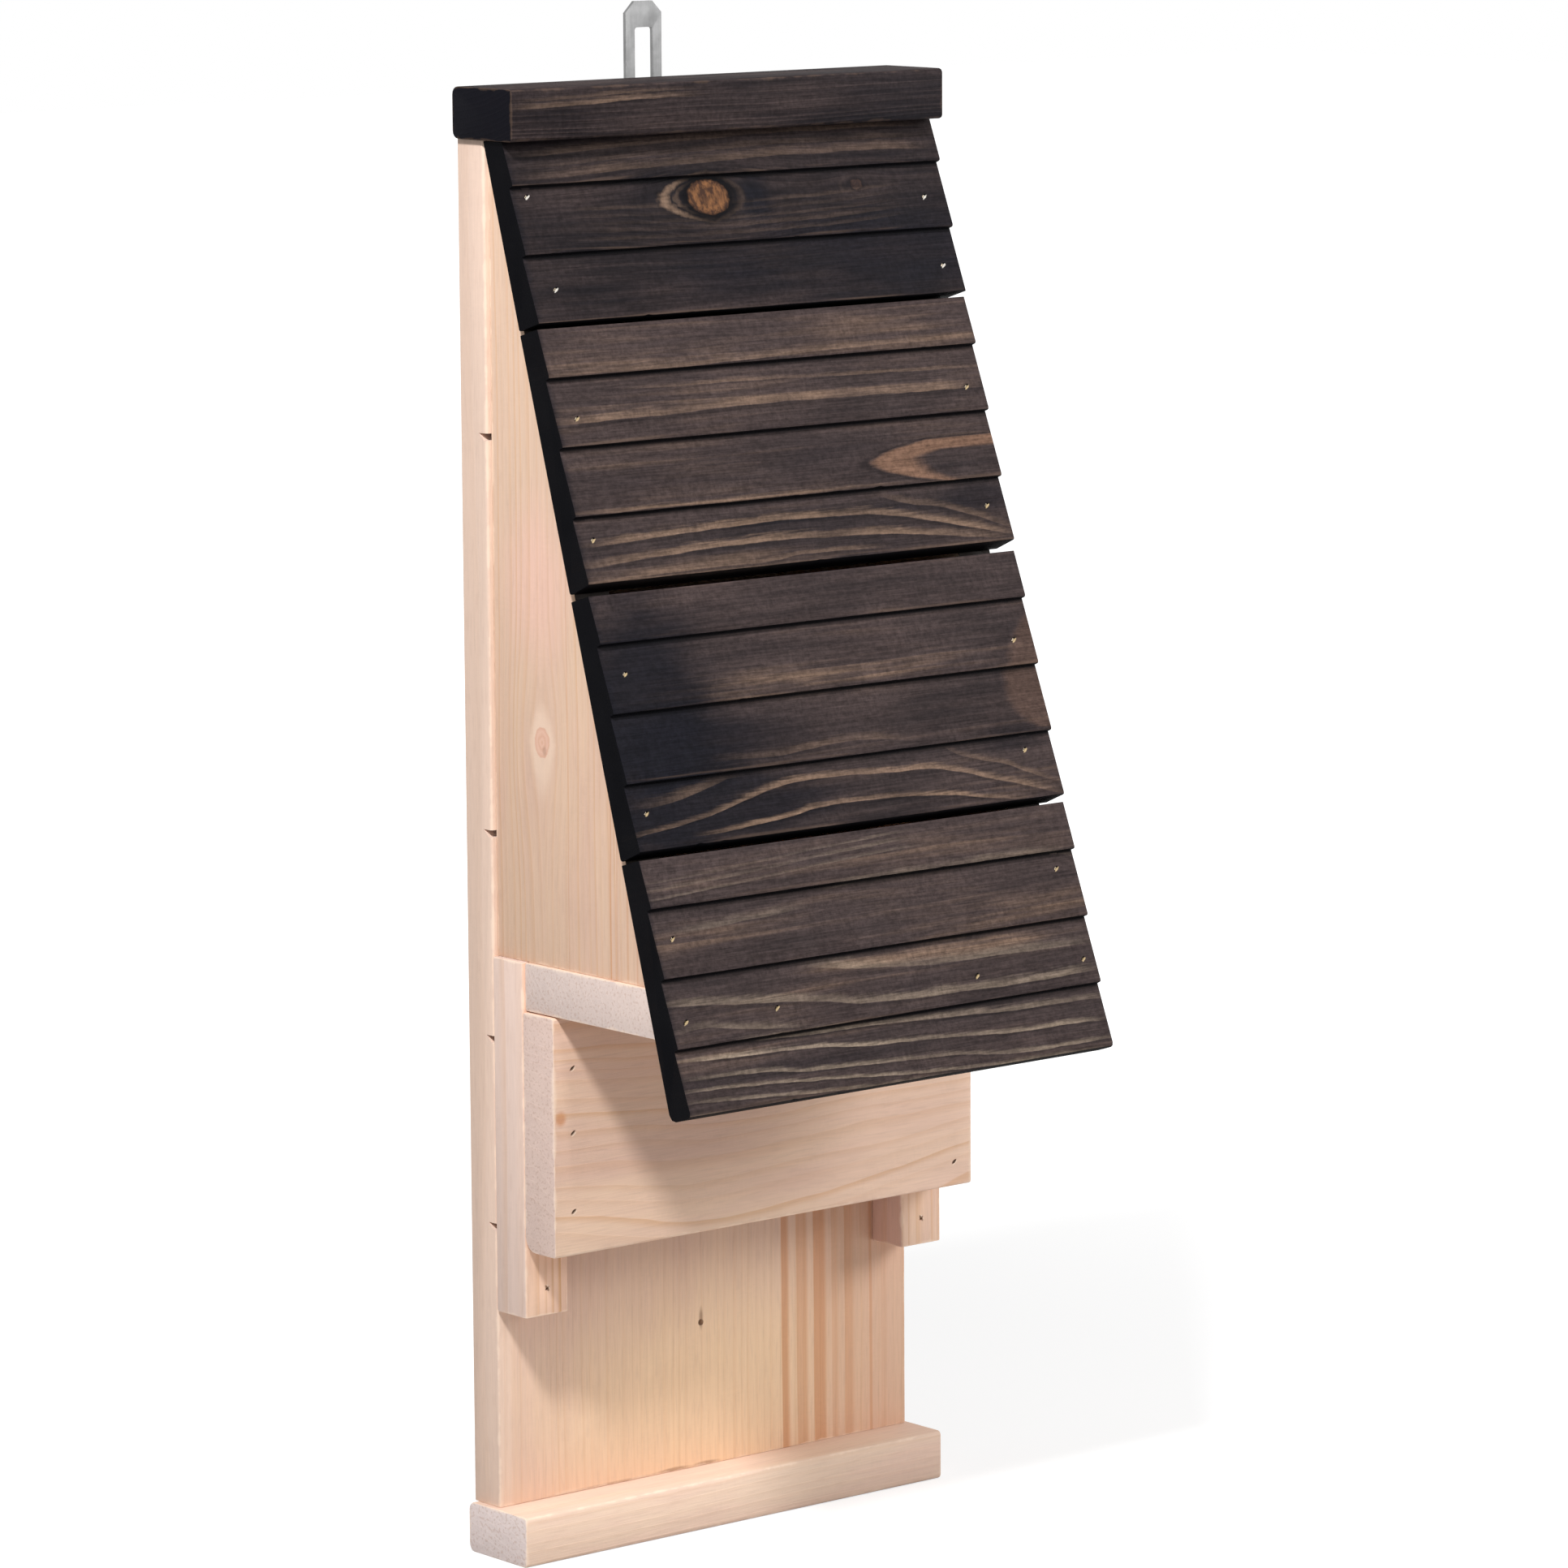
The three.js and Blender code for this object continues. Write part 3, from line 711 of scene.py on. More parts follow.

# %% [markdown]
# ## Stained boards
# The roof and the cap rail wear a thin, dark stain. It soaks into early wood and ends, where it
# goes blue-black, and slides off dense late wood, which stays tan. One level decides the colour,
# from deep to brown to tan. Clouds, rings, strands and glows make it up. Dark pools are painted
# over it, then the drawn streaks with a thin painted shade below them, the flames and the knots'
# eyes. On the stepped boards a black line of painted shade lies in the corner under each step,
# and the faces that look up or down the slope, in the gaps between boards, are painted black as
# shade.

# %% Stain finish
STAIN_DEEP, STAIN_BROWN = srgb(24, 21, 24), srgb(62, 52, 51)
STAIN_TAN, STAIN_BLACK_AND_SHADE = srgb(128, 104, 87), srgb(4, 4, 7)
STAIN_RED, STAIN_LINE = srgb(116, 88, 72), srgb(142, 116, 97)
STAIN_POOL = srgb(19, 19, 25)
STAIN_KNOT, STAIN_KNOT_RING = srgb(60, 42, 34), srgb(128, 88, 58)
RAW_LIP = srgb(196, 172, 132)


def stained(name, face, grain, out, tan=0.5, dark=0.0, pools=(), glows=(), streaks=(), flames=(),
            bright_knots=(), line=STAIN_LINE, lip=RAW_LIP, stepped=True, end=STAIN_BLACK_AND_SHADE,
            node=None, **board):
    """A stained board's material: its level of stain, and then the marks drawn on it."""
    wood = Board(name, face, grain, out, **board)
    sketch = wood.sketch
    cloud = wood.fibres["Cloud"].ramp(0.3, 0.7, 0.34 - dark, 0.62 - dark)
    own = wood.rings["Strength"].ramp(0.1, 1, 0.1, 1)
    level = cloud + wood.rings["Late"] * own * tan
    level = level + wood.fibres["Strand"].ramp(0.28, 0.72, -0.08, 0.08)
    for *glow, strength in glows:
        wavy = wood.fibres["Strand"].ramp(0.3, 0.7, 0.5, 1)
        level = level + wood.pool(*glow) * wavy * strength
    for knot, bright in zip(wood.knots, bright_knots):
        level = level - knot["Lens"] * (0.3 * bright)
    wood.colour = sketch.mix(level.ramp(0, 0.62), STAIN_DEEP, STAIN_BROWN)
    wood.paint(STAIN_TAN, level.ramp(0.5, 1.35))
    for *pool, strength in pools:
        wood.paint(STAIN_POOL, wood.pool(*pool) * strength)
    for points, width, seed, strength, *family in streaks:
        streak = wood.streaks(points, width, seed, *family)
        # painted shade: a thin dark edge under the lowest line of each family
        wood.paint(STAIN_BLACK_AND_SHADE, streak["Shade"] * (0.55 * strength))
        wood.paint(line, streak["Mask"] * strength)
    for *flame, strength in flames:
        band, rim = wood.flame(*flame)
        wood.paint(STAIN_BLACK_AND_SHADE, rim * (0.6 * strength))
        wood.paint(STAIN_RED, band * strength)
    for knot, bright in zip(wood.knots, bright_knots):
        wood.paint(line, knot["Eye"] * (0.5 * bright))
    fibre = wood.fibres["Fibre"].ramp(0.2, 0.8, 0.68, 1.22)
    mottle = wood.fibres["Mottle"].ramp(0.25, 0.75, 0.72, 1.26)
    wood.colour = sketch.scale(wood.colour, fibre * mottle + wood.fibres["Fleck"] * 0.3)
    for knot, bright in zip(wood.knots, bright_knots):
        rubbed = knot["Ring"] * 0.7 + wood.fibres["Mottle"].ramp(0.3, 0.7, -0.3, 0.75)
        ring = sketch.mix(rubbed, STAIN_KNOT, STAIN_KNOT_RING)
        wood.paint(STAIN_BLACK_AND_SHADE, knot["Halo"] * (0.4 + 0.45 * bright))
        wood.paint(ring, knot["Disc"] * bright)
    wood.paint(end, wood.end * 0.97)
    if stepped:
        tip = sketch.wire("ShaderNodeAttribute", attribute_name="tip", out="Fac")
        rubbed = tip.ramp(0.96, 1) * wood.fibres["Strand"].ramp(0.45, 0.65)
        wood.paint(STAIN_TAN, rubbed * (1 - wood.end) * 0.2)
        # painted shade: a black line in the corner under each step, and black on the faces that
        # look up or down the slope, in the gaps between boards
        wood.paint(STAIN_BLACK_AND_SHADE, tip.ramp(0.01, 0.055, 0.94, 0))
        wood.paint(STAIN_BLACK_AND_SHADE, wood.edge * 0.94)
    if node:
        wood.paint(STAIN_TAN, wood.worn(node) * 0.2)
    height = wood.rings["Late"] * 0.6 + wood.fibres["Fibre"] * 0.6
    if board.get("marks"):
        # painted shade: the inside of each nail slit is darkened
        wood.paint(STAIN_BLACK_AND_SHADE, wood.slit_shade * 0.85)
        wood.paint(lip, wood.torn * 0.8)
    roughness = wood.fibres["Cloud"].ramp(0.2, 0.8, 0.6, 0.74)
    return wood.finish(roughness, height, 0.45, 0.04)


print("brown stain is", [round(level, 2) for level in STAIN_BROWN[:3]])

# %% [markdown]
# ## Nail places
# The frame already holds every nail as a solid, so its head is found there: the end that faces
# away from the way it is driven. The marks on the boards, the pockets that the nail gun punched
# and the finer nails all use it.

# %% Where the nails are
ROOF_ANGLE, HEAD_BAND = radians(16.6), 0.05 * MM
SQUARE_TO_ROOF = Vector((0, cos(ROOF_ANGLE), -sin(ROOF_ANGLE)))
LEVEL_IN, LEVEL_OUT = Vector((0, 1, 0)), Vector((0, -1, 0))
DOWN, UP = Vector((0, 0, -1)), Vector((0, 0, 1))
DRIVEN = {
    "roof_nail": SQUARE_TO_ROOF, "shelf_nail": LEVEL_IN, "lower_nail": LEVEL_IN,
    "batten_nail": LEVEL_IN, "panel_nail": LEVEL_OUT, "cap_nail": DOWN, "floor_nail": DOWN,
    "rail_nail": UP,
}


def nail_head(name, drive):
    points = [vertex.co for vertex in nodes[name].data.vertices]
    nearest = min(point.dot(drive) for point in points)
    rim = [point for point in points if point.dot(drive) < nearest + HEAD_BAND]
    return (Vector(map(min, zip(*rim))) + Vector(map(max, zip(*rim)))) / 2


nail_heads = {
    name: (nail_head(name, drive), drive)
    for name in sorted(nodes) for kind, drive in DRIVEN.items() if name.startswith(kind)
}
print(len(nail_heads), "nails found")

# %% [markdown]
# ## Which nails a board holds
# A board needs only its own nails: those of the right kind whose heads lie inside its box. Its
# marks are the ones in its best face. They are worked out here, so a moved nail takes its mark,
# its pocket and its head along.

# %% Nails of one board
def nails_in(node, kinds):
    """The nails of some kinds whose heads lie in a board."""
    low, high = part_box(node)
    return [
        (head, drive) for name, (head, drive) in nail_heads.items()
        if kinds and name.startswith(kinds)
        and all(low[i] - MM < head[i] < high[i] + MM for i in range(3))
    ]


def marks_of(driven, face, grain, out):
    """Nail heads as places in a board's grain coordinates, for those in its best face."""
    back = grain_turn(grain, out).to_matrix().inverted()
    facing = [head for head, drive in driven if drive.dot(Vector(out)) < -0.9]
    places = [back @ (head - Vector(face)) for head in facing]
    return [(place.x, place.y) for place in places]


print("nails in the lower board:", len(nails_in("lower_front_board", ("lower_nail",))))

# %% [markdown]
# ## Finer boards
# The frame's boards have the right shape, with round bores for the nails. Real wood closes over its
# nails, so each plain board is made again as the hull of its solid, with its flat faces joined.
# That keeps the size exact, and needs no list of corners.

# %% Boards without bores
SHARP_EDGE, FLAT_JOIN, WELD = radians(24), radians(0.6), 0.002 * MM


def keep_piece(name, mesh):
    piece = bpy.data.objects.new(name, mesh)
    bpy.context.scene.collection.objects.link(piece)
    return piece


def plain_copy(node, hull=True):
    """A node's solid again, as its hull or as it is, with its flat faces joined."""
    shape = bmesh.new()
    shape.from_mesh(nodes[node].data)
    bmesh.ops.remove_doubles(shape, verts=shape.verts, dist=WELD)
    if hull:
        places = [vertex.co.copy() for vertex in shape.verts]
        shape.clear()
        for place in places:
            shape.verts.new(place)
        bmesh.ops.convex_hull(shape, input=shape.verts)
        loose = [vertex for vertex in shape.verts if not vertex.link_faces]
        bmesh.ops.delete(shape, geom=loose, context="VERTS")
    bmesh.ops.dissolve_limit(shape, angle_limit=FLAT_JOIN, verts=shape.verts, edges=shape.edges)
    bmesh.ops.recalc_face_normals(shape, faces=shape.faces)
    mesh = bpy.data.meshes.new(node + "_timber")
    shape.to_mesh(mesh)
    shape.free()
    return keep_piece(node + "_timber", mesh)


def settle(piece):
    """Turn a piece and its modifiers into a plain mesh, smooth except at its sharp edges."""
    graph = bpy.context.evaluated_depsgraph_get()
    mesh = bpy.data.meshes.new_from_object(piece.evaluated_get(graph))
    piece.modifiers.clear()
    piece.data = mesh
    mesh.name = piece.name
    mesh.shade_smooth()
    mesh.set_sharp_from_angle(angle=SHARP_EDGE)
    return piece


print("folds over", round(SHARP_EDGE / radians(1)), "degrees stay sharp")

# %% [markdown]
# ## Breaking the arrises
# No sawn edge is perfectly sharp, and the bright line along an edge is what makes a board look
# solid. A small bevel on every edge sharper than a limit gives it, and leaves the faces flat.

# %% Breaking the arrises
def break_arrises(piece, width, segments=2, angle=32):
    bevel = piece.modifiers.new("arris", "BEVEL")
    bevel.width, bevel.segments = width * MM, segments
    bevel.limit_method, bevel.angle_limit = "ANGLE", radians(angle)
    bevel.use_clamp_overlap = True


WOOD_ARRIS = 0.45
print("wooden arrises are broken by", WOOD_ARRIS, "mm")

# %% [markdown]
# ## Pockets over the nail heads
# The gun drives each head a little below the surface and tears the wood there. Small, slanted
# ellipsoids, one at each head, are cut from the board by one boolean. Bump alone would stay flat
# when seen from the side, and would be lost in the exported mesh.

# %% Pockets over the nail heads
POCKET_LENGTH, POCKET_BREADTH, POCKET_DEPTH = 1.2 * MM, 0.5 * MM, 0.9 * MM
POCKET_LIFT = 0.3 * MM


def nail_axes(drive):
    """The long and the short way of a nail's head, seen along the nail."""
    side = Vector((1, 0, 0))
    up = side.cross(drive)
    long = (SLANT[0] * side + SLANT[1] * up).normalized()
    return long, drive.cross(long)


def add_pockets(shape, driven):
    for head, drive in driven:
        long, short = nail_axes(drive)
        columns = (long * POCKET_LENGTH, short * POCKET_BREADTH, drive * POCKET_DEPTH)
        turn = Matrix(columns).transposed().to_4x4()
        place = Matrix.Translation(head - drive * POCKET_LIFT) @ turn
        bmesh.ops.create_uvsphere(shape, u_segments=12, v_segments=8, radius=1, matrix=place)


def carve(piece, fill):
    """Cut away every closed solid that fill adds to an empty shape."""
    shape = bmesh.new()
    fill(shape)
    if not shape.faces:
        shape.free()
        return settle(piece)
    bmesh.ops.recalc_face_normals(shape, faces=shape.faces)
    mesh = bpy.data.meshes.new("cutter")
    shape.to_mesh(mesh)
    shape.free()
    cutter = keep_piece("cutter", mesh)
    cut = piece.modifiers.new("cut", "BOOLEAN")
    cut.operation, cut.solver, cut.object = "DIFFERENCE", "EXACT", cutter
    settle(piece)
    bpy.data.objects.remove(cutter)
    return piece


def dress(piece, material, slot, *replaced):
    """Give a piece its material, put it on the root body, and hide what it replaces. The slot is
    not used.
    """
    piece.data.materials.clear()
    piece.data.materials.append(material)
    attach(piece, "root")
    if replaced:
        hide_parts(*replaced)
    return piece


print("a pocket is", 2 * POCKET_LENGTH / MM, "mm long and", 2 * POCKET_BREADTH / MM, "mm wide")

# %% [markdown]
# ## Grip grooves and the fixing hole
# Bats climb the back board on saw cuts across it. A saw held at a slant leaves them deeper along
# their upper edge. Each cutter is a bar with that section, longer than the board is wide, so that
# the cut runs out at both edges. The small fixing hole near the foot is a cylinder.

# %% Grip grooves and the fixing hole
GROOVE_RISES, GROOVE_HEIGHT = (107, 177.7, 254.6, 401), 2.6
GROOVE_TOP_DEPTH, GROOVE_FOOT_DEPTH = 4.7, 1.8
HOLE_PLACE, HOLE_RADIUS, BOARD_MIDDLE = (-2.9, 56), 1.3, -0.008
back_low, back_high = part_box("back_board")


def add_grooves(shape):
    """Saw cuts across the front of the back board, deeper along their upper edges."""
    front = back_low.y
    for rise in GROOVE_RISES:
        low = back_low.z + (rise - GROOVE_HEIGHT / 2) * MM
        high = low + GROOVE_HEIGHT * MM
        outline = (
            (front - MM, low), (front + GROOVE_FOOT_DEPTH * MM, low),
            (front + GROOVE_TOP_DEPTH * MM, high), (front - MM, high),
        )
        ends = [
            [shape.verts.new((x, y, z)) for y, z in outline]
            for x in (back_low.x - MM, back_high.x + MM)
        ]
        shape.faces.new(ends[0])
        shape.faces.new(reversed(ends[1]))
        for i in range(len(outline)):
            j = (i + 1) % len(outline)
            shape.faces.new((ends[0][j], ends[0][i], ends[1][i], ends[1][j]))


def add_fixing_hole(shape):
    place = Vector((HOLE_PLACE[0] * MM, BOARD_MIDDLE, back_low.z + HOLE_PLACE[1] * MM))
    turn = Matrix.Rotation(radians(90), 4, "X")
    bmesh.ops.create_cone(shape, segments=14, radius1=HOLE_RADIUS * MM, radius2=HOLE_RADIUS * MM,
                          depth=0.02, cap_ends=True, matrix=Matrix.Translation(place) @ turn)


print(len(GROOVE_RISES), "grip grooves across", round((back_high.x - back_low.x) / MM, 1), "mm")

# %% [markdown]
# ## The pine boards
# Each board is its own slice of the tree. Heart says where the middle of the trunk lay, in metres
# from the origin on the board's face: far behind gives straight lines, near gives arches.

# %% Recipes for the pine
ALONG_X, ALONG_Z = (1, 0, 0), (0, 0, 1)
FRONT, LEFT = (0, -1, 0), (-1, 0, 0)
PINE_BOARDS = {
    "back_board": dict(
        grain=ALONG_Z, out=FRONT, nails=("panel_nail",), cuts=(add_grooves, add_fixing_hole),
        early=(230, 197, 174), blush=(224, 190, 171), edge=(192, 172, 163), end=(218, 196, 186),
        contrast=0.2, Heart=(0, -0.3, -0.12), Wander=0.005, Ring_Width=0.0036,
        stripes=(
            (-42, -37, 2.5, 0.6), (-51, -44.5, 2, 0.4), (-60, -53, 2, 0.55), (-66, -62, 2, 0.25),
            (-74.5, -68.5, 3, 0.35), (-83, -81, 0.6, 0.4), (-91, -87, 2, 0.12),
        ),
        blooms=(
            # painted light: the first bloom, pale yellow, low in the middle of the board
            (-228, -5, 42, 75, 0.7, 0.3, (242, 208, 168), 0.75),
            (-190, -90, 90, 42, 0.5, 0.2, (216, 174, 146), 0.65),
            (0, 97.5, 500, 3.5, 0.25, 0.1, (233, 204, 184), 0.75),
        ),
        spots=((-197, 2.9, 3.6, 0.8, 0.6), (-253.7, 17, 0.7, 7, 0.5), (-253.7, 1, 0.7, 5, 0.5),
               (-254, 50, 0.5, 24, 0.3)),
    ),
    "bottom_rail": dict(
        grain=ALONG_X, out=FRONT, nails=("rail_nail",), early=(226, 199, 177),
        blush=(222, 191, 173), end=(218, 205, 203), contrast=0.18, Heart=(0, -0.4, -0.05),
        Wander=0.004, Ring_Width=0.0036,
    ),
    "side_panel_left": dict(
        grain=ALONG_Z, out=LEFT, early=(221, 189, 164), blush=(217, 183, 162), contrast=0.4,
        inked=0.97,
        stripes=((-59.4, -58.2, 0.8, 0.3), (-84.2, -82.8, 0.8, 0.45), (-88, -86.4, 1, 0.25),
                 (-94.2, -92.4, 1.2, 0.3), (-99.8, -98, 1.2, 0.3)),
        Heart=(0, 0.3, -0.06), Wander=0.006, Ring_Width=0.0036, knots=((37, -44.2, 4.4, {}),),
        blooms=((170, -25, 110, 60, 0.6, 0.2, (212, 183, 161), 0.8),
                (95, -41, 26, 16, 0.7, 0.4, (236, 190, 176), 0.5)),
        spots=((34, -45.6, 1.6, 1.0, 0.3),),
    ),
    "side_panel_right": dict(
        grain=ALONG_Z, out=(1, 0, 0), early=(228, 196, 170), blush=(224, 191, 170),
        contrast=0.2, inked=0.97, Heart=(0, 0.3, -0.06), Wander=0.006, Ring_Width=0.0038,
    ),
    "batten_left": dict(
        grain=ALONG_Z, out=FRONT, nails=("batten_nail",), early=(238, 200, 174),
        blush=(232, 192, 168), edge=(222, 197, 184), end=(214, 190, 180), contrast=1.0,
        edge_contrast=0.25, Heart=(0, 0.2, -0.05), Wander=0.003, Ring_Width=0.0042,
    ),
    "batten_right": dict(
        grain=ALONG_Z, out=FRONT, nails=("batten_nail",), early=(236, 202, 176),
        blush=(228, 192, 172), edge=(214, 178, 164), contrast=0.5, Heart=(0, -0.2, -0.05),
        Wander=0.003, Ring_Width=0.0038,
    ),
    "floor_shelf": dict(
        grain=ALONG_X, out=(0, 0, 1), nails=("floor_nail",), early=(228, 196, 174),
        blush=(222, 190, 172), end=(211, 195, 189), contrast=0.22, Heart=(0, 0.03, -0.06),
        Wander=0.004, Ring_Width=0.003,
    ),
    "lower_front_board": dict(
        grain=ALONG_X, out=FRONT, nails=("lower_nail",), early=(230, 197, 172),
        blush=(222, 187, 168), end=(214, 191, 182), contrast=0.5, Heart=(0, -0.24, -0.05),
        Bow=0.5, Wander=0.022, Ring_Width=0.0055,
        # painted light: the two pale blooms; the third is a small brown spot
        blooms=((-60, -140, 60, 12, 0.6, 0.3, (236, 204, 176), 0.5),
                (80, -120, 55, 40, 0.6, 0.3, (240, 206, 184), 0.6),
                (-97.5, -101.5, 2.2, 2.4, 0.6, 0.3, (196, 128, 80), 0.7)),
    ),
}


def best_face(node, out):
    """The origin of a board's grain coordinates: on its best face, straight above the frame's."""
    low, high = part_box(node)
    return tuple(max(a * d, b * d) * d if d else 0 for a, b, d in zip(low, high, out))


print(len(PINE_BOARDS), "pine boards, the shelf's face at", best_face("floor_shelf", (0, 0, 1)))

# %% [markdown]
# ## Dressing the pine boards
# Every plain board goes the same way: its nails, its finish, a plain copy, broken arrises, and its
# cuts. One function does it, so that a board differs from the next only by its recipe.

# %% Dress the pine
def dress_plain(node, finish, label, slot, grain, out, nails=None, cuts=(), **recipe):
    face = best_face(node, out)
    driven = nails_in(node, nails)
    marks = marks_of(driven, face, grain, out)
    material = finish(f"{node}_{label}", face, grain, out, marks=marks, node=node, **recipe)
    board = plain_copy(node)
    break_arrises(board, WOOD_ARRIS)

    def fill(shape):
        add_pockets(shape, driven)
        for cut in cuts:
            cut(shape)

    dress(carve(board, fill), material, slot, node)
    print(node, "nails", len(driven), "marks", len(marks), "faces", len(board.data.polygons))


for node, recipe in PINE_BOARDS.items():
    dress_plain(node, pine, "pine", "pine", **recipe)

# %% [markdown]
# ## Stepped roof boards by rule
# The outline of a roof board follows a rule: from its top it thickens down each course, drops back
# at the tip, and starts again. It could be drawn corner by corner, but a Geometry Nodes tree keeps
# the rule itself, so that all four boards share it. Such a tree is sketched like a shader, with a
# few calls of its own. To use it, its inputs are set and the result becomes a plain mesh.

# %% Geometry Nodes sketch
class GeometrySketch(Sketch):
    def switch(self, chosen, *values):
        """The value whose number is chosen."""
        node = self.node("GeometryNodeIndexSwitch", None, data_type="FLOAT")
        while len(node.index_switch_items) < len(values):
            node.index_switch_items.new()
        for socket, value in zip(node.inputs, (chosen, *values)):
            self.feed(socket, value)
        return Wire(self, node.outputs[0])

    def store(self, geometry, name, value):
        feeds = {"Geometry": geometry, "Name": name, "Value": value}
        return self.wire("GeometryNodeStoreNamedAttribute", feeds, data_type="FLOAT",
                         domain="POINT")

    def recall(self, name, data_type="FLOAT"):
        return self.wire("GeometryNodeInputNamedAttribute", {"Name": name}, data_type=data_type)

    def close_with(self, close, geometry, material):
        """The end of every tree here: real geometry, then its material."""
        real = self.wire("GeometryNodeRealizeInstances", {"Geometry": geometry})
        feeds = {"Geometry": real, "Material": material}
        close["Geometry"] = self.wire("GeometryNodeSetMaterial", feeds)
        return self.tree


def geometry_group(name, inputs):
    """A tree that takes a mesh and its own inputs, and hands back a mesh."""
    mesh = {"Geometry": bpy.types.Mesh}
    return new_group(name, {**mesh, **inputs}, mesh, "GeometryNodeTree", GeometrySketch)


def grow(name, tree, mesh, **values):
    """A piece made by a tree: its inputs are set by identifier, then it becomes a mesh."""
    piece = keep_piece(name, mesh)
    modifier = piece.modifiers.new(name, "NODES")
    modifier.node_group = tree
    for item in tree.interface.items_tree:
        key = item.name.replace(" ", "_")
        if item.in_out == "INPUT" and key in values:
            modifier[item.identifier] = values[key]
    return settle(piece)


print("geometry sketches know", [name for name in vars(GeometrySketch) if name[0] != "_"])

# %% [markdown]
# ## The outline
# Seen from its end, a roof board is a row of points: two at its top, then two for each course, one
# at its tip and one behind it at its foot. Each point also keeps how round its corner is and how
# near a tip it lies, for the rounding, the ripples, the rubbed tips and the painted shade in
# each step's corner.

# %% Roof board outline
TIP_THICKNESS, STEP_DEPTH, COURSE_PITCH = 0.0121, 0.0024, 0.0256
FIRST_COURSES, LAST_COURSES = (0.020, 0.0187, 0.0183, 0.0183), (0.0251, 0.0247, 0.0247, 0.0247)
TIP_ROUND, TOP_ROUND = 0.0008, 0.0003


def outline_points(sketch, entry):
    """Two points for each course, with how round each corner is and how near a tip it lies."""
    fall = entry["Step Depth"] / entry["Pitch"]
    count = entry["Courses"] * 2 + 2
    line = sketch.wire("GeometryNodeMeshLine", {"Count": count})
    index = sketch.wire("GeometryNodeInputIndex")
    course = sketch.math("FLOOR", (index - 2) / 2)
    is_foot = index % 2
    short = entry["Pitch"] - entry["Last Course"]

    def tip_place(number):
        place = number * entry["Pitch"] + entry["First Course"]
        at_last = number > entry["Courses"] - 1 - 0.5
        return place - at_last * short, at_last

    tip, at_last = tip_place(course)
    following, _ = tip_place(course + 1)
    foot = (entry["Tip Thickness"] - (following - tip) * fall) * (1 - at_last)
    top = entry["Tip Thickness"] - (entry["First Course"] - entry["Top Set Back"]) * fall
    is_start = index < 1.5
    out = sketch.switch(is_start, sketch.switch(is_foot, entry["Tip Thickness"], foot),
                        sketch.switch(index, 0.0, top))
    start = sketch.switch(index, 0.0, entry["Top Set Back"])
    tip = tip + at_last * is_foot * entry["Foot Lean"]
    down = sketch.switch(is_start, tip, start) + entry["Start"]
    place = sketch.join(down, out * -1, 0)
    near_tip = sketch.switch(is_start, 1 - is_foot, 0.3)
    tail = at_last * entry["Tail Round"]
    nose = at_last * entry["Nose Round"] + TIP_ROUND
    corner = sketch.switch(is_start, sketch.switch(is_foot, nose, tail), TOP_ROUND)
    placed = sketch.wire("GeometryNodeSetPosition", {"Geometry": line, "Position": place})
    return sketch.store(sketch.store(placed, "tip", near_tip), "corner", corner)


print("a course falls back by", round(STEP_DEPTH / MM, 1), "mm at each tip")

# %% [markdown]
# ## From outline to board
# The tree closes the points into an outline, rounds its corners, and sweeps it across the roof in
# many cuts. Noise then lets the tips and the sawn ends wander by a fraction of a millimetre, always
# inwards, with a chip here and there. A moulded edge would look too perfect.

# %% Roof board tree
SAWN_END = 0.5 * MM


def make_roof_tree():
    sketch, entry, close = geometry_group("stepped_roof_board", {
        "Left": -0.1, "Right": 0.1, "Start": 0.0, "Courses": 4, "First Course": 0.0183,
        "Pitch": COURSE_PITCH, "Last Course": 0.0247, "Tip Thickness": TIP_THICKNESS,
        "Step Depth": STEP_DEPTH, "Top Set Back": 0.0, "Foot Lean": 0.0, "Tail Round": 0.001,
        "Nose Round": 0.0, "Wander": 0.0003, "Cuts": 110, "Seed": 0.0, "Wood": bpy.types.Material,
    })
    feeds = {"Mesh": outline_points(sketch, entry)}
    outline = sketch.wire("GeometryNodeMeshToCurve", feeds)
    outline = sketch.wire("GeometryNodeSetSplineCyclic", {"Geometry": outline, "Cyclic": True})
    feeds = {"Curve": outline, "Count": 2, "Radius": sketch.recall("corner")}
    outline = sketch.wire("GeometryNodeFilletCurve", feeds, mode="POLY")
    feeds = {"Start": sketch.join(entry["Left"], 0, 0), "End": sketch.join(entry["Right"], 0, 0)}
    rail = sketch.wire("GeometryNodeCurvePrimitiveLine", feeds)
    rail = sketch.wire("GeometryNodeResampleCurve", {"Curve": rail, "Count": entry["Cuts"]})
    rail = sketch.wire("GeometryNodeSetCurveNormal", {"Curve": rail}, mode="Z_UP")
    feeds = {"Curve": rail, "Profile Curve": outline, "Fill Caps": True}
    swept = sketch.wire("GeometryNodeCurveToMesh", feeds)
    place = sketch.wire("GeometryNodeInputPosition")
    along, _, _ = sketch.split(place)
    shifted = sketch.vector("ADD", place, sketch.join(entry["Seed"], 0, 0))
    chip = sketch.noise(shifted, (170, 300, 170), 2).ramp(0.62, 0.76)
    ripple = sketch.noise(shifted, (60, 400, 60), 3, 0.6) + chip * 1.3
    ripple = ripple * sketch.recall("tip").ramp(0.5, 1) * entry["Wander"]
    at_left = along < entry["Left"] + SAWN_END
    at_right = along > entry["Right"] - SAWN_END
    rough = sketch.noise(shifted, (0, 500, 500), 2) * entry["Wander"]
    shift = sketch.join((at_left - at_right) * rough, ripple, 0)
    moved = sketch.wire("GeometryNodeSetPosition", {"Geometry": swept, "Offset": shift})
    return sketch.close_with(close, moved, entry["Wood"])


ROOF_TREE = make_roof_tree()
print("roof tree", len(ROOF_TREE.nodes), "nodes")
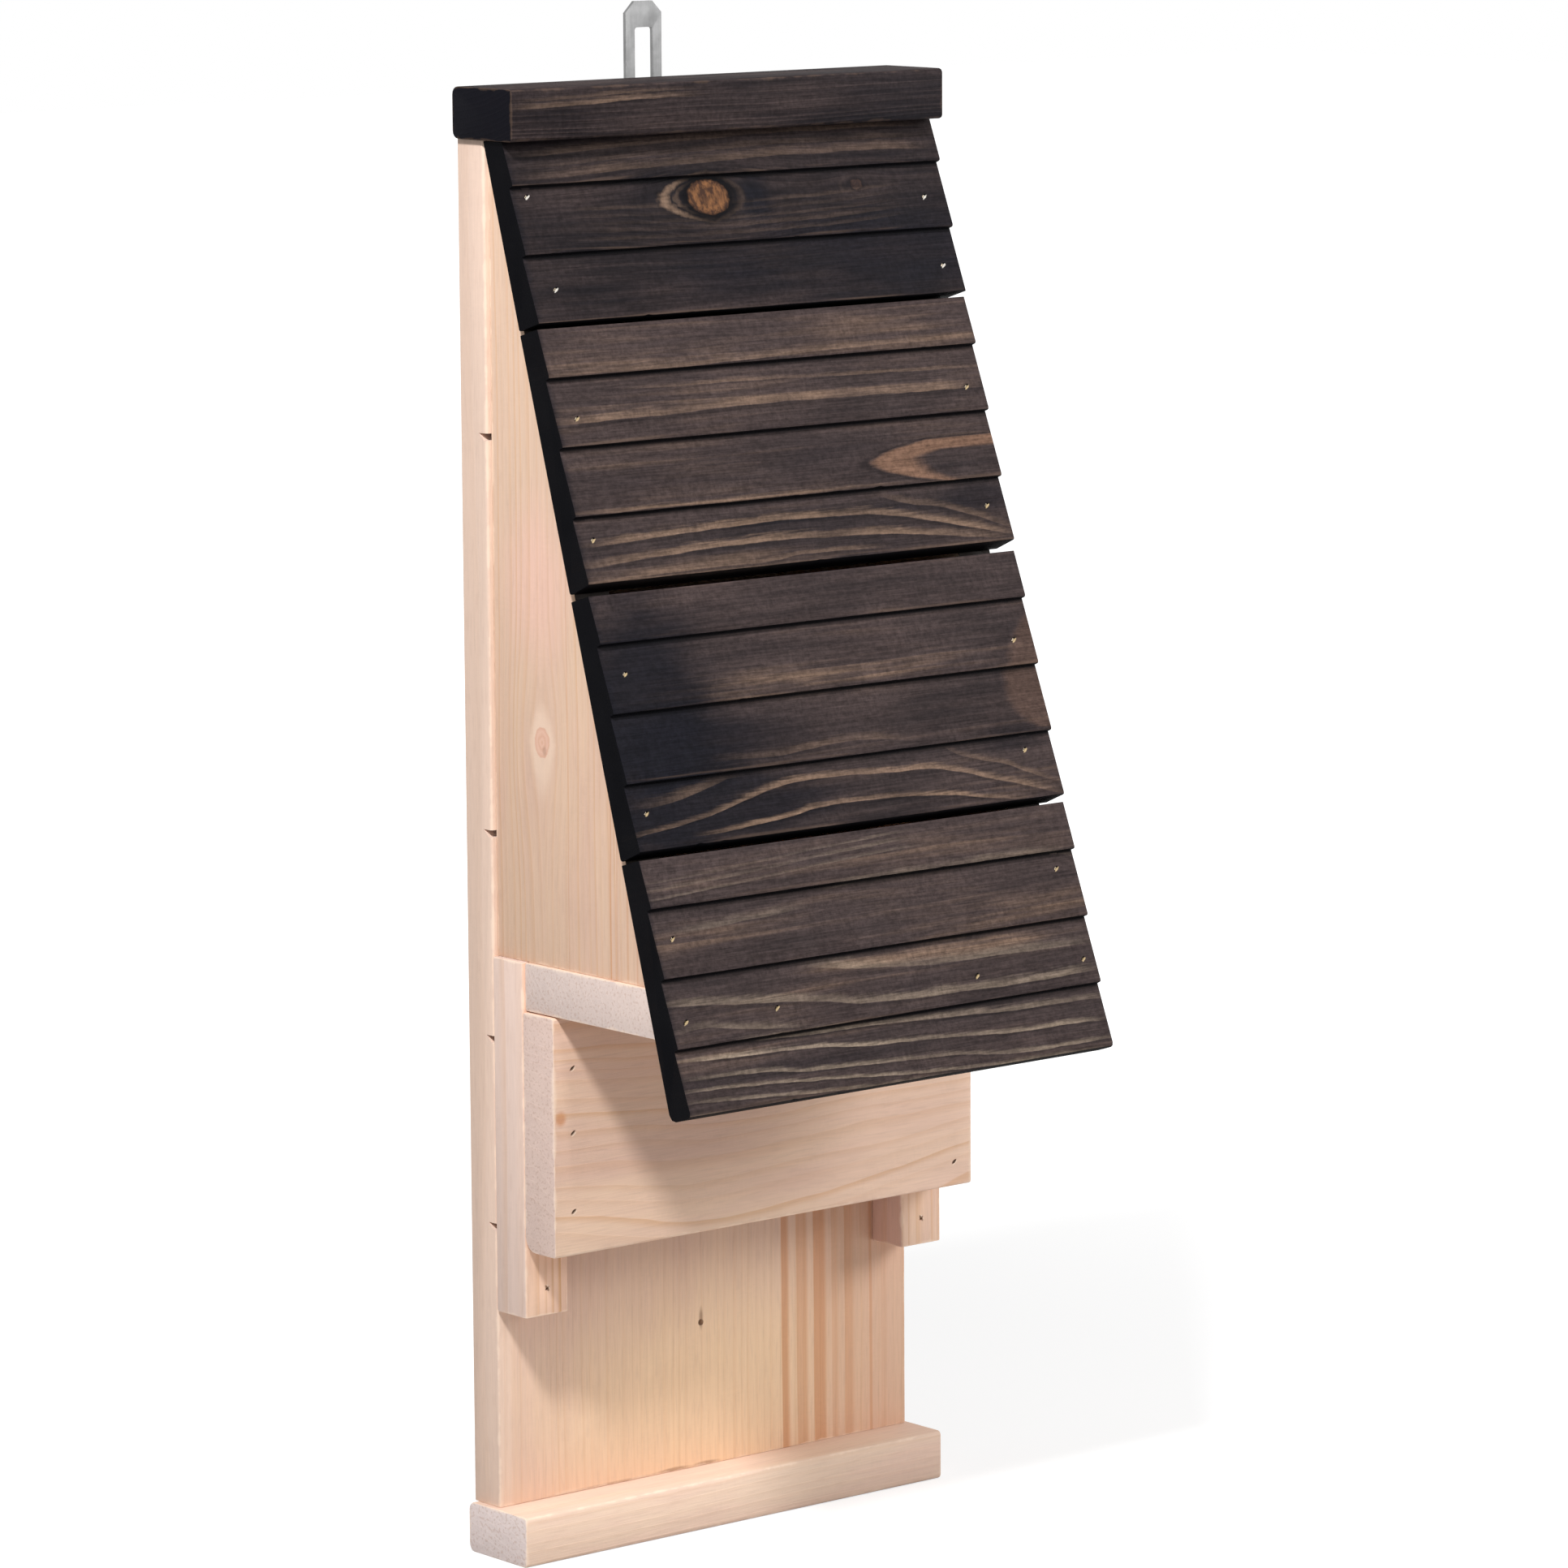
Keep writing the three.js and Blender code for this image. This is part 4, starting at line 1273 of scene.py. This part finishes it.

# %% [markdown]
# ## Figures for the roof
# Places on the roof are measured from the top of the slope: x across, and y up the slope, so the
# courses lie at negative y. The bold lines were followed with a few points to each, because a
# board's own figure is what one knows it by. A streak entry is its line, then width, seed and
# strength, and for a family its pitch and count.

# %% Roof recipes
ROOF_RECIPES = (
    dict(Heart=(0, -0.2, -0.05), Wander=0.008, Ring_Width=0.0036, tan=0.08, dark=0.24,
         bright_knots=(1.0, 0.1), lip=srgb(222, 216, 206),
         knots=(
             (-9.8, -28.3, 6.9, {"Sway": 0.85, "Stretch": 1.4, "Reach": 2.2, "Eye Left": 0.0212,
                                 "Eye Right": 0.016, "Eye Height": 0.0095}),
             (62, -27, 2.2, {"Sway": 0.6, "Eye Left": 0.008, "Eye Right": 0.006,
                             "Eye Height": 0.004}),
         ),
         pools=(
             (75, -52, 55, 16, 0.6, 0.6, 0.75),
             (12, -30, 7, 9, 0.6, 0.5, 0.85),
             (-104, -40, 5, 60, 0.5, 0.6, 0.8),
             (-10, -58, 22, 10, 0.7, 0.7, 0.6),
             (40, -44, 30, 5, 0.7, 0.7, 0.5),
         ),
         streaks=(
             (((-90, -18.5), (-20, -16), (30, -14.5), (95, -15)), 2.6, 3, 0.2, 4.4, 3),
             (((-70, -42), (0, -43), (80, -40)), 1.6, 9, 0.09, 2.9, 5),
         )),
    dict(Heart=(0, -0.36, -0.04), Wander=0.007, Ring_Width=0.0044, tan=0.14, dark=0.0,
         flames=((41, -133, -142.4, (550.0, 390.0, 31), (25, 1300.0, 190.0, 12), 0.85),),
         glows=(
             (10, -85, 120, 7, 0.6, 0.4, 0.16),
             (20, -103, 105, 4, 0.7, 0.4, 0.22),
             (-45, -165, 50, 6, 0.6, 0.5, 0.35),
         ),
         pools=(
             (20, -150, 90, 2, 0.6, 0.3, 0.5),
             (92, -149, 18, 6, 0.6, 0.5, 0.6),
             (-10, -130, 90, 12, 0.6, 0.5, 0.25),
             (20, -157, 90, 10, 0.6, 0.4, 0.35),
             (-104, -120, 4.5, 120, 0.5, 0.6, 0.8),
         ),
         streaks=(
             (((-98, -90), (-38, -91), (41, -89), (102, -89)), 2.0, 2, 0.3),
             (((-59, -97.5), (23, -98.5), (101, -100)), 1.6, 7, 0.35),
             (((-96, -108.4), (-57, -108.2), (-11, -107.2), (97, -108)), 3.6, 4, 0.8),
             (((-91, -142), (-20, -142), (35, -142)), 1.8, 6, 0.4),
             (((-93, -153.6), (-59, -152.4), (-11, -151), (29, -151.6), (48, -153.5), (62, -155.9),
               (82, -160.2), (104, -165.4)), 2.6, 5, 0.7),
             (((-96, -161.4), (-60, -159.4), (-14, -158.2), (27, -159.3), (46, -160.4),
               (66, -162.4), (95, -165.9)), 2.6, 8, 0.6),
             (((-97, -167), (-62, -166), (-16, -165.6), (6, -164.2), (35, -165)), 1.7, 9, 0.4),
             (((45, -146), (59, -150), (69, -151.2), (88, -156.5), (97, -160), (104, -162.6)), 3.2,
              12, 0.4),
         )),
    dict(Heart=(0, -0.42, -0.04), Wander=0.008, Ring_Width=0.005, tan=0.14, dark=0.06,
         flames=((84, -225, -239, (19.0, 60.0, 90), (60, 19.0, 60.0, 90), 0.22),),
         pools=(
             (-86, -214, 32, 40, 0.5, 0.5, 0.9),
             (-66, -228, 44, 14, 0.6, 0.6, 0.8),
             (-70, -252, 60, 16, 0.5, 0.6, 0.85),
             (-104, -220, 5, 120, 0.5, 0.6, 0.85),
             (85, -241, 14, 6, 0.6, 0.5, 0.5),
         ),
         glows=(
             (10, -208, 80, 6, 0.7, 0.6, 0.25),
             (60, -191, 60, 5, 0.7, 0.6, 0.15),
             (70, -254, 34, 7, 0.6, 0.5, 0.25),
             (-30, -212, 44, 5, 0.6, 0.5, 0.3),
         ),
         streaks=(
             (((-49, -236.6), (-30, -237), (-16, -236), (4, -235.2), (33, -237.6)), 3.0, 4, 0.4),
             (((-99, -260.1), (-68, -255.7), (-49, -252.1), (-34, -248.9)), 1.4, 22, 0.6),
             (((-42, -250.6), (-34, -248.9), (-20, -247.2), (-9, -247.1), (24, -248.5), (40, -249),
               (53, -251.1), (72, -256.2), (82, -258.7), (101, -264.3)), 2.8, 11, 0.85),
             (((-65, -262), (-41, -260.8), (-26, -259.3), (-12, -257.5), (8, -257.5), (33, -258.7),
               (51, -260.3), (66, -262.6), (80, -264.7)), 2.1, 6, 0.65),
             (((-91, -250), (-84, -249.4), (-71, -247.1), (-53, -243)), 3.0, 14, 0.35),
             (((52, -242), (57, -244.8), (69, -248.7), (79, -250.8), (88, -254.5), (102, -259.7)),
              2.6, 16, 0.35),
         )),
    dict(Heart=(0, -0.6, -0.05), Wander=0.008, Ring_Width=0.0052, tan=0.14, dark=-0.02,
         line=srgb(150, 133, 116),
         glows=(
             (-30, -296, 70, 5, 0.6, 0.5, 0.16),
             (60, -305, 60, 5, 0.7, 0.6, 0.16),
             (35, -316, 60, 3.4, 0.5, 0.5, 0.3),
         ),
         pools=(
             (-60, -350, 60, 3, 0.7, 0.3, 0.3),
             (-104, -310, 4, 120, 0.5, 0.6, 0.85),
         ),
         streaks=(
             (((-99, -283), (-54, -281), (-6, -278), (25, -277)), 1.2, 21, 0.3, 3.0, 3),
             (((-15, -287.6), (7, -287), (39, -286.4), (71, -286), (103, -289)), 3.0, 4, 0.5),
             (((-89, -296), (-69, -295.6), (-53, -294.8), (-35, -293.8)), 2.6, 5, 0.3),
             (((-30, -315.5), (-14, -317.5), (6, -319.6), (34, -321.3), (62, -321.6),
               (103, -322.2)), 3.6, 7, 0.45),
             (((-99, -321.6), (-76, -323.7), (-43, -326.4), (-23, -329), (-10, -331.1),
               (31, -332.8), (102, -332.6)), 2.4, 3, 0.5),
             (((-97, -332), (-88, -331.2), (-73, -333), (-45, -336)), 2.0, 10, 0.4),
             (((-66, -338), (-39, -339), (-12, -339.4), (15, -340.6), (42, -341.8), (103, -343)),
              1.8, 18, 0.8),
             (((-97, -342), (-80, -343), (-40, -343.8), (-14, -346.6), (13, -347.8), (68, -350.8),
               (97, -351.4)), 1.7, 13, 0.75),
             (((-96, -349.2), (-69, -349.7), (-43, -352), (-16, -353.5), (25, -355.4), (73, -358.9),
               (102, -358.6)), 1.4, 14, 0.6),
             (((-97, -353.2), (-70, -354.2), (-44, -355.6), (-17, -357.9), (30, -360.9),
               (94, -361.9)), 1.3, 15, 0.55),
             (((-98, -357.2), (-71, -358.7), (-45, -360.2), (-11, -362), (23, -362.8)), 1.2, 17,
              0.5),
             (((-98, -361.8), (-72, -362.7), (-46, -363.4)), 1.1, 19, 0.4),
         )),
)
print(sum(len(recipe["streaks"]) for recipe in ROOF_RECIPES), "drawn lines on the roof")

# %% [markdown]
# ## Laying the roof
# The highest board's top is sawn level to fit under the cap rail, so its upper front corner lies
# lower down the slope than its rear one. The others are sawn square. The lower ends of the middle
# boards are sawn square to the stepped face, so that their rear corner lies lower than their tip.
# The lowest board's nose is rounded.

# %% Roof frame
SLOPE_CLEARANCE, CAP_CLEARANCE, NAIL_REACH = 0.0003, 0.0003, 2.5 * MM
COURSE_COUNTS, BOARD_GAPS = (3, 4, 4, 4), (0.0016, 0.0038, 0.0026, 0.0)
TOP_FOOT = {"Tail_Round": 0.0006, "Nose_Round": -0.0005}
MIDDLE_FOOT = {"Foot_Lean": 0.0014, "Tail_Round": 0.001}
LOWEST_FOOT = {"Tail_Round": 0.003, "Nose_Round": 0.0008}
FEET = (TOP_FOOT, MIDDLE_FOOT, MIDDLE_FOOT, LOWEST_FOOT)
ROOF_TOP = Vector((0, back_low.y, back_high.z))
UP_SLOPE = Vector((0, sin(ROOF_ANGLE), cos(ROOF_ANGLE)))
ROOF_OUT = Vector((0, -cos(ROOF_ANGLE), sin(ROOF_ANGLE)))
roof_frame = Matrix((Vector(ALONG_X), UP_SLOPE, ROOF_OUT)).transposed().to_4x4()
roof_frame.translation = ROOF_TOP + ROOF_OUT * SLOPE_CLEARANCE


def level_top(start):
    """How far down from its rear corner the highest board's upper front corner lies."""
    fall = STEP_DEPTH / COURSE_PITCH
    lift = TIP_THICKNESS - (start + FIRST_COURSES[0]) * fall + SLOPE_CLEARANCE
    drop = CAP_CLEARANCE + lift * sin(ROOF_ANGLE)
    return drop / (cos(ROOF_ANGLE) - fall * sin(ROOF_ANGLE)) - start


def mend_tips(board, driven):
    """The cuts leave points with no tip value. They lie about halfway down their course."""
    tips = board.data.attributes["tip"].data
    for vertex, tip in zip(board.data.vertices, tips):
        if any((vertex.co - head).length < NAIL_REACH for head, _ in driven):
            tip.value = 0.5


print("the roof starts at", [round(side / MM, 1) for side in roof_frame.translation], "mm")

# %% [markdown]
# ## Dressing the roof boards
# The boards are laid one below the other, each with its own gap, so a change to one moves those
# below it. Growing, cutting and staining happen in one loop over the recipes.

# %% Dress the roof
def lay_roof():
    low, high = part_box("roof_board_1")
    start = (CAP_CLEARANCE + SLOPE_CLEARANCE * sin(ROOF_ANGLE)) / cos(ROOF_ANGLE)
    face = tuple(ROOF_TOP + ROOF_OUT * (TIP_THICKNESS + SLOPE_CLEARANCE))
    for number, recipe in enumerate(ROOF_RECIPES):
        node = f"roof_board_{number + 1}"
        courses = COURSE_COUNTS[number]
        first, last = FIRST_COURSES[number], LAST_COURSES[number]
        set_back = 0.0 if number else level_top(start)
        driven = nails_in(node, ("roof_nail", "shelf_nail"))
        marks = marks_of(driven, face, ALONG_X, tuple(ROOF_OUT))
        material = stained(node + "_stain", face, ALONG_X, tuple(ROOF_OUT), marks=marks, **recipe)
        board = grow(node + "_timber", ROOF_TREE, bpy.data.meshes.new(node), Left=low.x,
                     Right=high.x, Start=start, Courses=courses, First_Course=first,
                     Last_Course=last, Top_Set_Back=set_back, Seed=float(number + 1), Wood=material,
                     **FEET[number])
        board.data.transform(roof_frame)
        carve(board, lambda shape: add_pockets(shape, driven))
        mend_tips(board, driven)
        dress(board, material, "stained_wood", node)
        length = first + (courses - 2) * COURSE_PITCH + last
        start += length + BOARD_GAPS[number]
        print(node, "length", round(length / MM, 1), "mm, marks", len(marks),
              "faces", len(board.data.polygons))


lay_roof()

# %% [markdown]
# ## The cap rail
# The lath across the top wears the same stain as the roof, with a few brown lines on its front and
# blue-black ends. It is a plain board, so it is made like the pine ones, but with the stain.

# %% Dress the cap rail
dress_plain(
    "cap_rail", stained, "stain", "stained_wood", ALONG_X, FRONT, nails=("cap_nail",),
    Heart=(0, 0.4, -0.05), Wander=0.004, Ring_Width=0.002, tan=0.2, dark=0.22, stepped=False,
    end=srgb(14, 14, 20), pools=((85, 262, 45, 12, 0.6, 0.5, 0.35),),
    streaks=((((-96, 266), (-60, 267), (-20, 268)), 1.6, 3, 0.45, 2.6, 2),),
)

# %% [markdown]
# ## Zinc-plated steel
# The hanger and its screws are plated: bright, slightly uneven, with fine rolling lines. Two
# noises give that, a cloud for the shade and a stretched one for the gloss and the bump. The
# nails take the same recipe in a warmer grey, with grains instead of lines.

# %% Metal finishes
def metal(name, colour, roughness, stretch):
    material = bpy.data.materials.new(name)
    sketch = blank(material)
    place = sketch.wire("ShaderNodeTexCoord", out="Object")
    cloud = sketch.noise(place, (160, 160, 160), 3, 0.6)
    lines = sketch.noise(place, stretch, 2)
    shade = sketch.scale(colour[:3], cloud.ramp(0.3, 0.7, 0.86, 1.08))
    rough = lines.ramp(0.3, 0.7, roughness - 0.08, roughness + 0.1)
    bump = sketch.wire("ShaderNodeBump", {"Height": lines, "Strength": 0.15, "Distance": 0.0002})
    shader = sketch.wire("ShaderNodeBsdfPrincipled", {
        "Base Color": shade, "Metallic": 0.9, "Roughness": rough, "Normal": bump,
    })
    sketch.node("ShaderNodeOutputMaterial", {"Surface": shader})
    return material


zinc = metal("zinc_steel", srgb(134, 134, 134), 0.5, (2600, 2600, 60))
nail_steel = metal("nail_steel", srgb(150, 138, 120), 0.45, (900, 900, 900))
for node, width in (("hanger_plate", 0.2), ("hanger_screw_1", 0.15), ("hanger_screw_2", 0.15)):
    piece = plain_copy(node, hull=False)
    break_arrises(piece, width)
    dress(settle(piece), zinc, "zinc_steel", node)
print("plate and screws dressed")

# %% [markdown]
# ## Nails
# A gun-driven nail has a narrow head that lies across its shank. One small nail is made inside
# the tree and placed on every point, turned to the way each nail is driven. Copies in one mesh
# are lighter than forty separate pieces, and they all follow one pattern.

# %% Nail tree
def make_nail_tree():
    sketch, entry, close = geometry_group("driven_nails", {
        "Length": 0.027, "Radius": 0.0003, "Head Radius": 0.0007, "Head Height": 0.0006,
        "Slimness": 0.5, "Wood": bpy.types.Material,
    })

    def rod(vertices, radius, length, slimness=1):
        """A cylinder whose top lies at the origin."""
        feeds = {"Vertices": vertices, "Radius": radius, "Depth": length}
        made = sketch.wire("GeometryNodeMeshCylinder", feeds)
        feeds = {"Geometry": made, "Translation": sketch.join(0, 0, length * -0.5),
                 "Scale": sketch.join(1, slimness, 1)}
        return sketch.wire("GeometryNodeTransform", feeds)

    both = sketch.node("GeometryNodeJoinGeometry")
    sketch.feed(both.inputs[0], rod(8, entry["Radius"], entry["Length"]))
    head = rod(14, entry["Head Radius"], entry["Head Height"], entry["Slimness"])
    sketch.feed(both.inputs[0], head)
    feeds = {"Vector": sketch.scale(sketch.recall("drive", "FLOAT_VECTOR"), -1)}
    aim = sketch.wire("FunctionNodeAlignRotationToVector", feeds, axis="Z")
    feeds = {"Rotation": aim, "Vector": sketch.recall("long", "FLOAT_VECTOR")}
    aim = sketch.wire("FunctionNodeAlignRotationToVector", feeds, axis="X", pivot_axis="Z")
    nail = Wire(sketch, both.outputs[0])
    feeds = {"Points": entry["Geometry"], "Instance": nail, "Rotation": aim}
    placed = sketch.wire("GeometryNodeInstanceOnPoints", feeds)
    return sketch.close_with(close, placed, entry["Wood"])


NAIL_TREE = make_nail_tree()
print("nail tree", len(NAIL_TREE.nodes), "nodes")

# %% [markdown]
# ## Driving the nails
# Each point carries two directions: the way its nail is driven, and the long way of its head. The
# heads sink a little, so that each lies inside its pocket.

# %% Drive the nails
NAIL_SINK = 0.4 * MM


def drive_nails():
    points = bpy.data.meshes.new("nail_points")
    places = [head + drive * NAIL_SINK for head, drive in nail_heads.values()]
    points.from_pydata(places, [], [])
    ways = {
        "drive": [drive for _, drive in nail_heads.values()],
        "long": [nail_axes(drive)[0] for _, drive in nail_heads.values()],
    }
    for name, vectors in ways.items():
        attribute = points.attributes.new(name, "FLOAT_VECTOR", "POINT")
        attribute.data.foreach_set("vector", [part for vector in vectors for part in vector])
    nails = grow("nails", NAIL_TREE, points, Wood=nail_steel)
    dress(nails, nail_steel, "nail_steel", *nail_heads)
    print("nails", len(nail_heads), "faces", len(nails.data.polygons))


drive_nails()

# %% [markdown]
# ## Studio
# The photograph has a plain white ground. The floor lies where the box stands and keeps its shadow.
# A glow that only the camera and the gloss see lifts it to white, more so far away, so that no
# horizon shows. A white room gives the rest of the light. It is dimmer for the boards than for
# the camera.

# %% Floor and world
FLOOR_SIZE, FLOOR_PALE, FLOOR_GLOW = 8, 0.5, 0.6
GLOW_NEAR, GLOW_FAR, ROOM_LIGHT = 0.4, 1.4, 0.38


def seen_directly(sketch):
    """1 for a ray from the camera, or for one seen in a gloss or through glass."""
    paths = sketch.wires(sketch.node("ShaderNodeLightPath"))
    through = sketch.math("MAXIMUM", paths["Is Glossy Ray"], paths["Is Transmission Ray"])
    return sketch.math("MAXIMUM", paths["Is Camera Ray"], through)


def studio_floor():
    signs = ((-1, -1), (1, -1), (1, 1), (-1, 1))
    corners = [(x * FLOOR_SIZE, y * FLOOR_SIZE, cad_low.z) for x, y in signs]
    mesh = bpy.data.meshes.new("floor")
    mesh.from_pydata(corners, [], [(0, 1, 2, 3)])
    material = bpy.data.materials.new("floor_white")
    sketch = blank(material)
    matt = sketch.wire("ShaderNodeBsdfDiffuse", {"Color": (FLOOR_PALE, FLOOR_PALE, FLOOR_PALE, 1)})
    place = sketch.wire("ShaderNodeTexCoord", out="Object")
    far = sketch.vector("LENGTH", place, out=1).ramp(GLOW_NEAR, GLOW_FAR, FLOOR_GLOW, 1)
    glow = sketch.wire("ShaderNodeEmission", {"Strength": seen_directly(sketch) * far})
    both = sketch.wire("ShaderNodeAddShader", {0: matt, 1: glow})
    sketch.node("ShaderNodeOutputMaterial", {"Surface": both})
    mesh.materials.append(material)
    keep_piece("floor", mesh)


def studio_world():
    world = bpy.data.worlds.new("studio")
    sketch = blank(world)
    feeds = {0: seen_directly(sketch), 3: ROOM_LIGHT, 4: 1.0}
    strength = sketch.wire("ShaderNodeMapRange", feeds)
    sky = sketch.wire("ShaderNodeBackground", {"Color": (1, 1, 1, 1), "Strength": strength})
    sketch.node("ShaderNodeOutputWorld", {"Surface": sky})
    bpy.context.scene.world = world


studio_floor()
studio_world()
print("floor", 2 * FLOOR_SIZE, "m wide, room light", ROOM_LIGHT)

# %% [markdown]
# ## Lamps
# A small bright lamp high on the left front draws the crisp shadow under the roof. A large soft one
# at the right opens that shadow from its far end. Both are discs, since the size of a disc sets
# how soft its shadows are.

# %% Lamps
KEY = dict(direction=(-1.42, -1, 1.94), distance=2.4, size=0.34, power=58)
FILL = dict(direction=(1, -0.75, 0.5), distance=2, size=0.9, power=25)


def lamp(name, direction, distance, size, power):
    data = bpy.data.lights.new(name, "AREA")
    data.shape, data.size, data.energy = "DISK", size, power
    light = bpy.data.objects.new(name, data)
    bpy.context.scene.collection.objects.link(light)
    away = Vector(direction).normalized()
    turn = away.to_track_quat("Z", "Y").to_matrix().to_4x4()
    light.matrix_world = Matrix.Translation(away * distance) @ turn


lamp("key", **KEY)
lamp("fill", **FILL)
bpy.context.scene.view_settings.view_transform = "Standard"
print("key lamp", KEY["power"], "W, fill lamp", FILL["power"], "W")

# %% [markdown]
# ## Sizes and the end
# Dressing must not change the size of the thing.
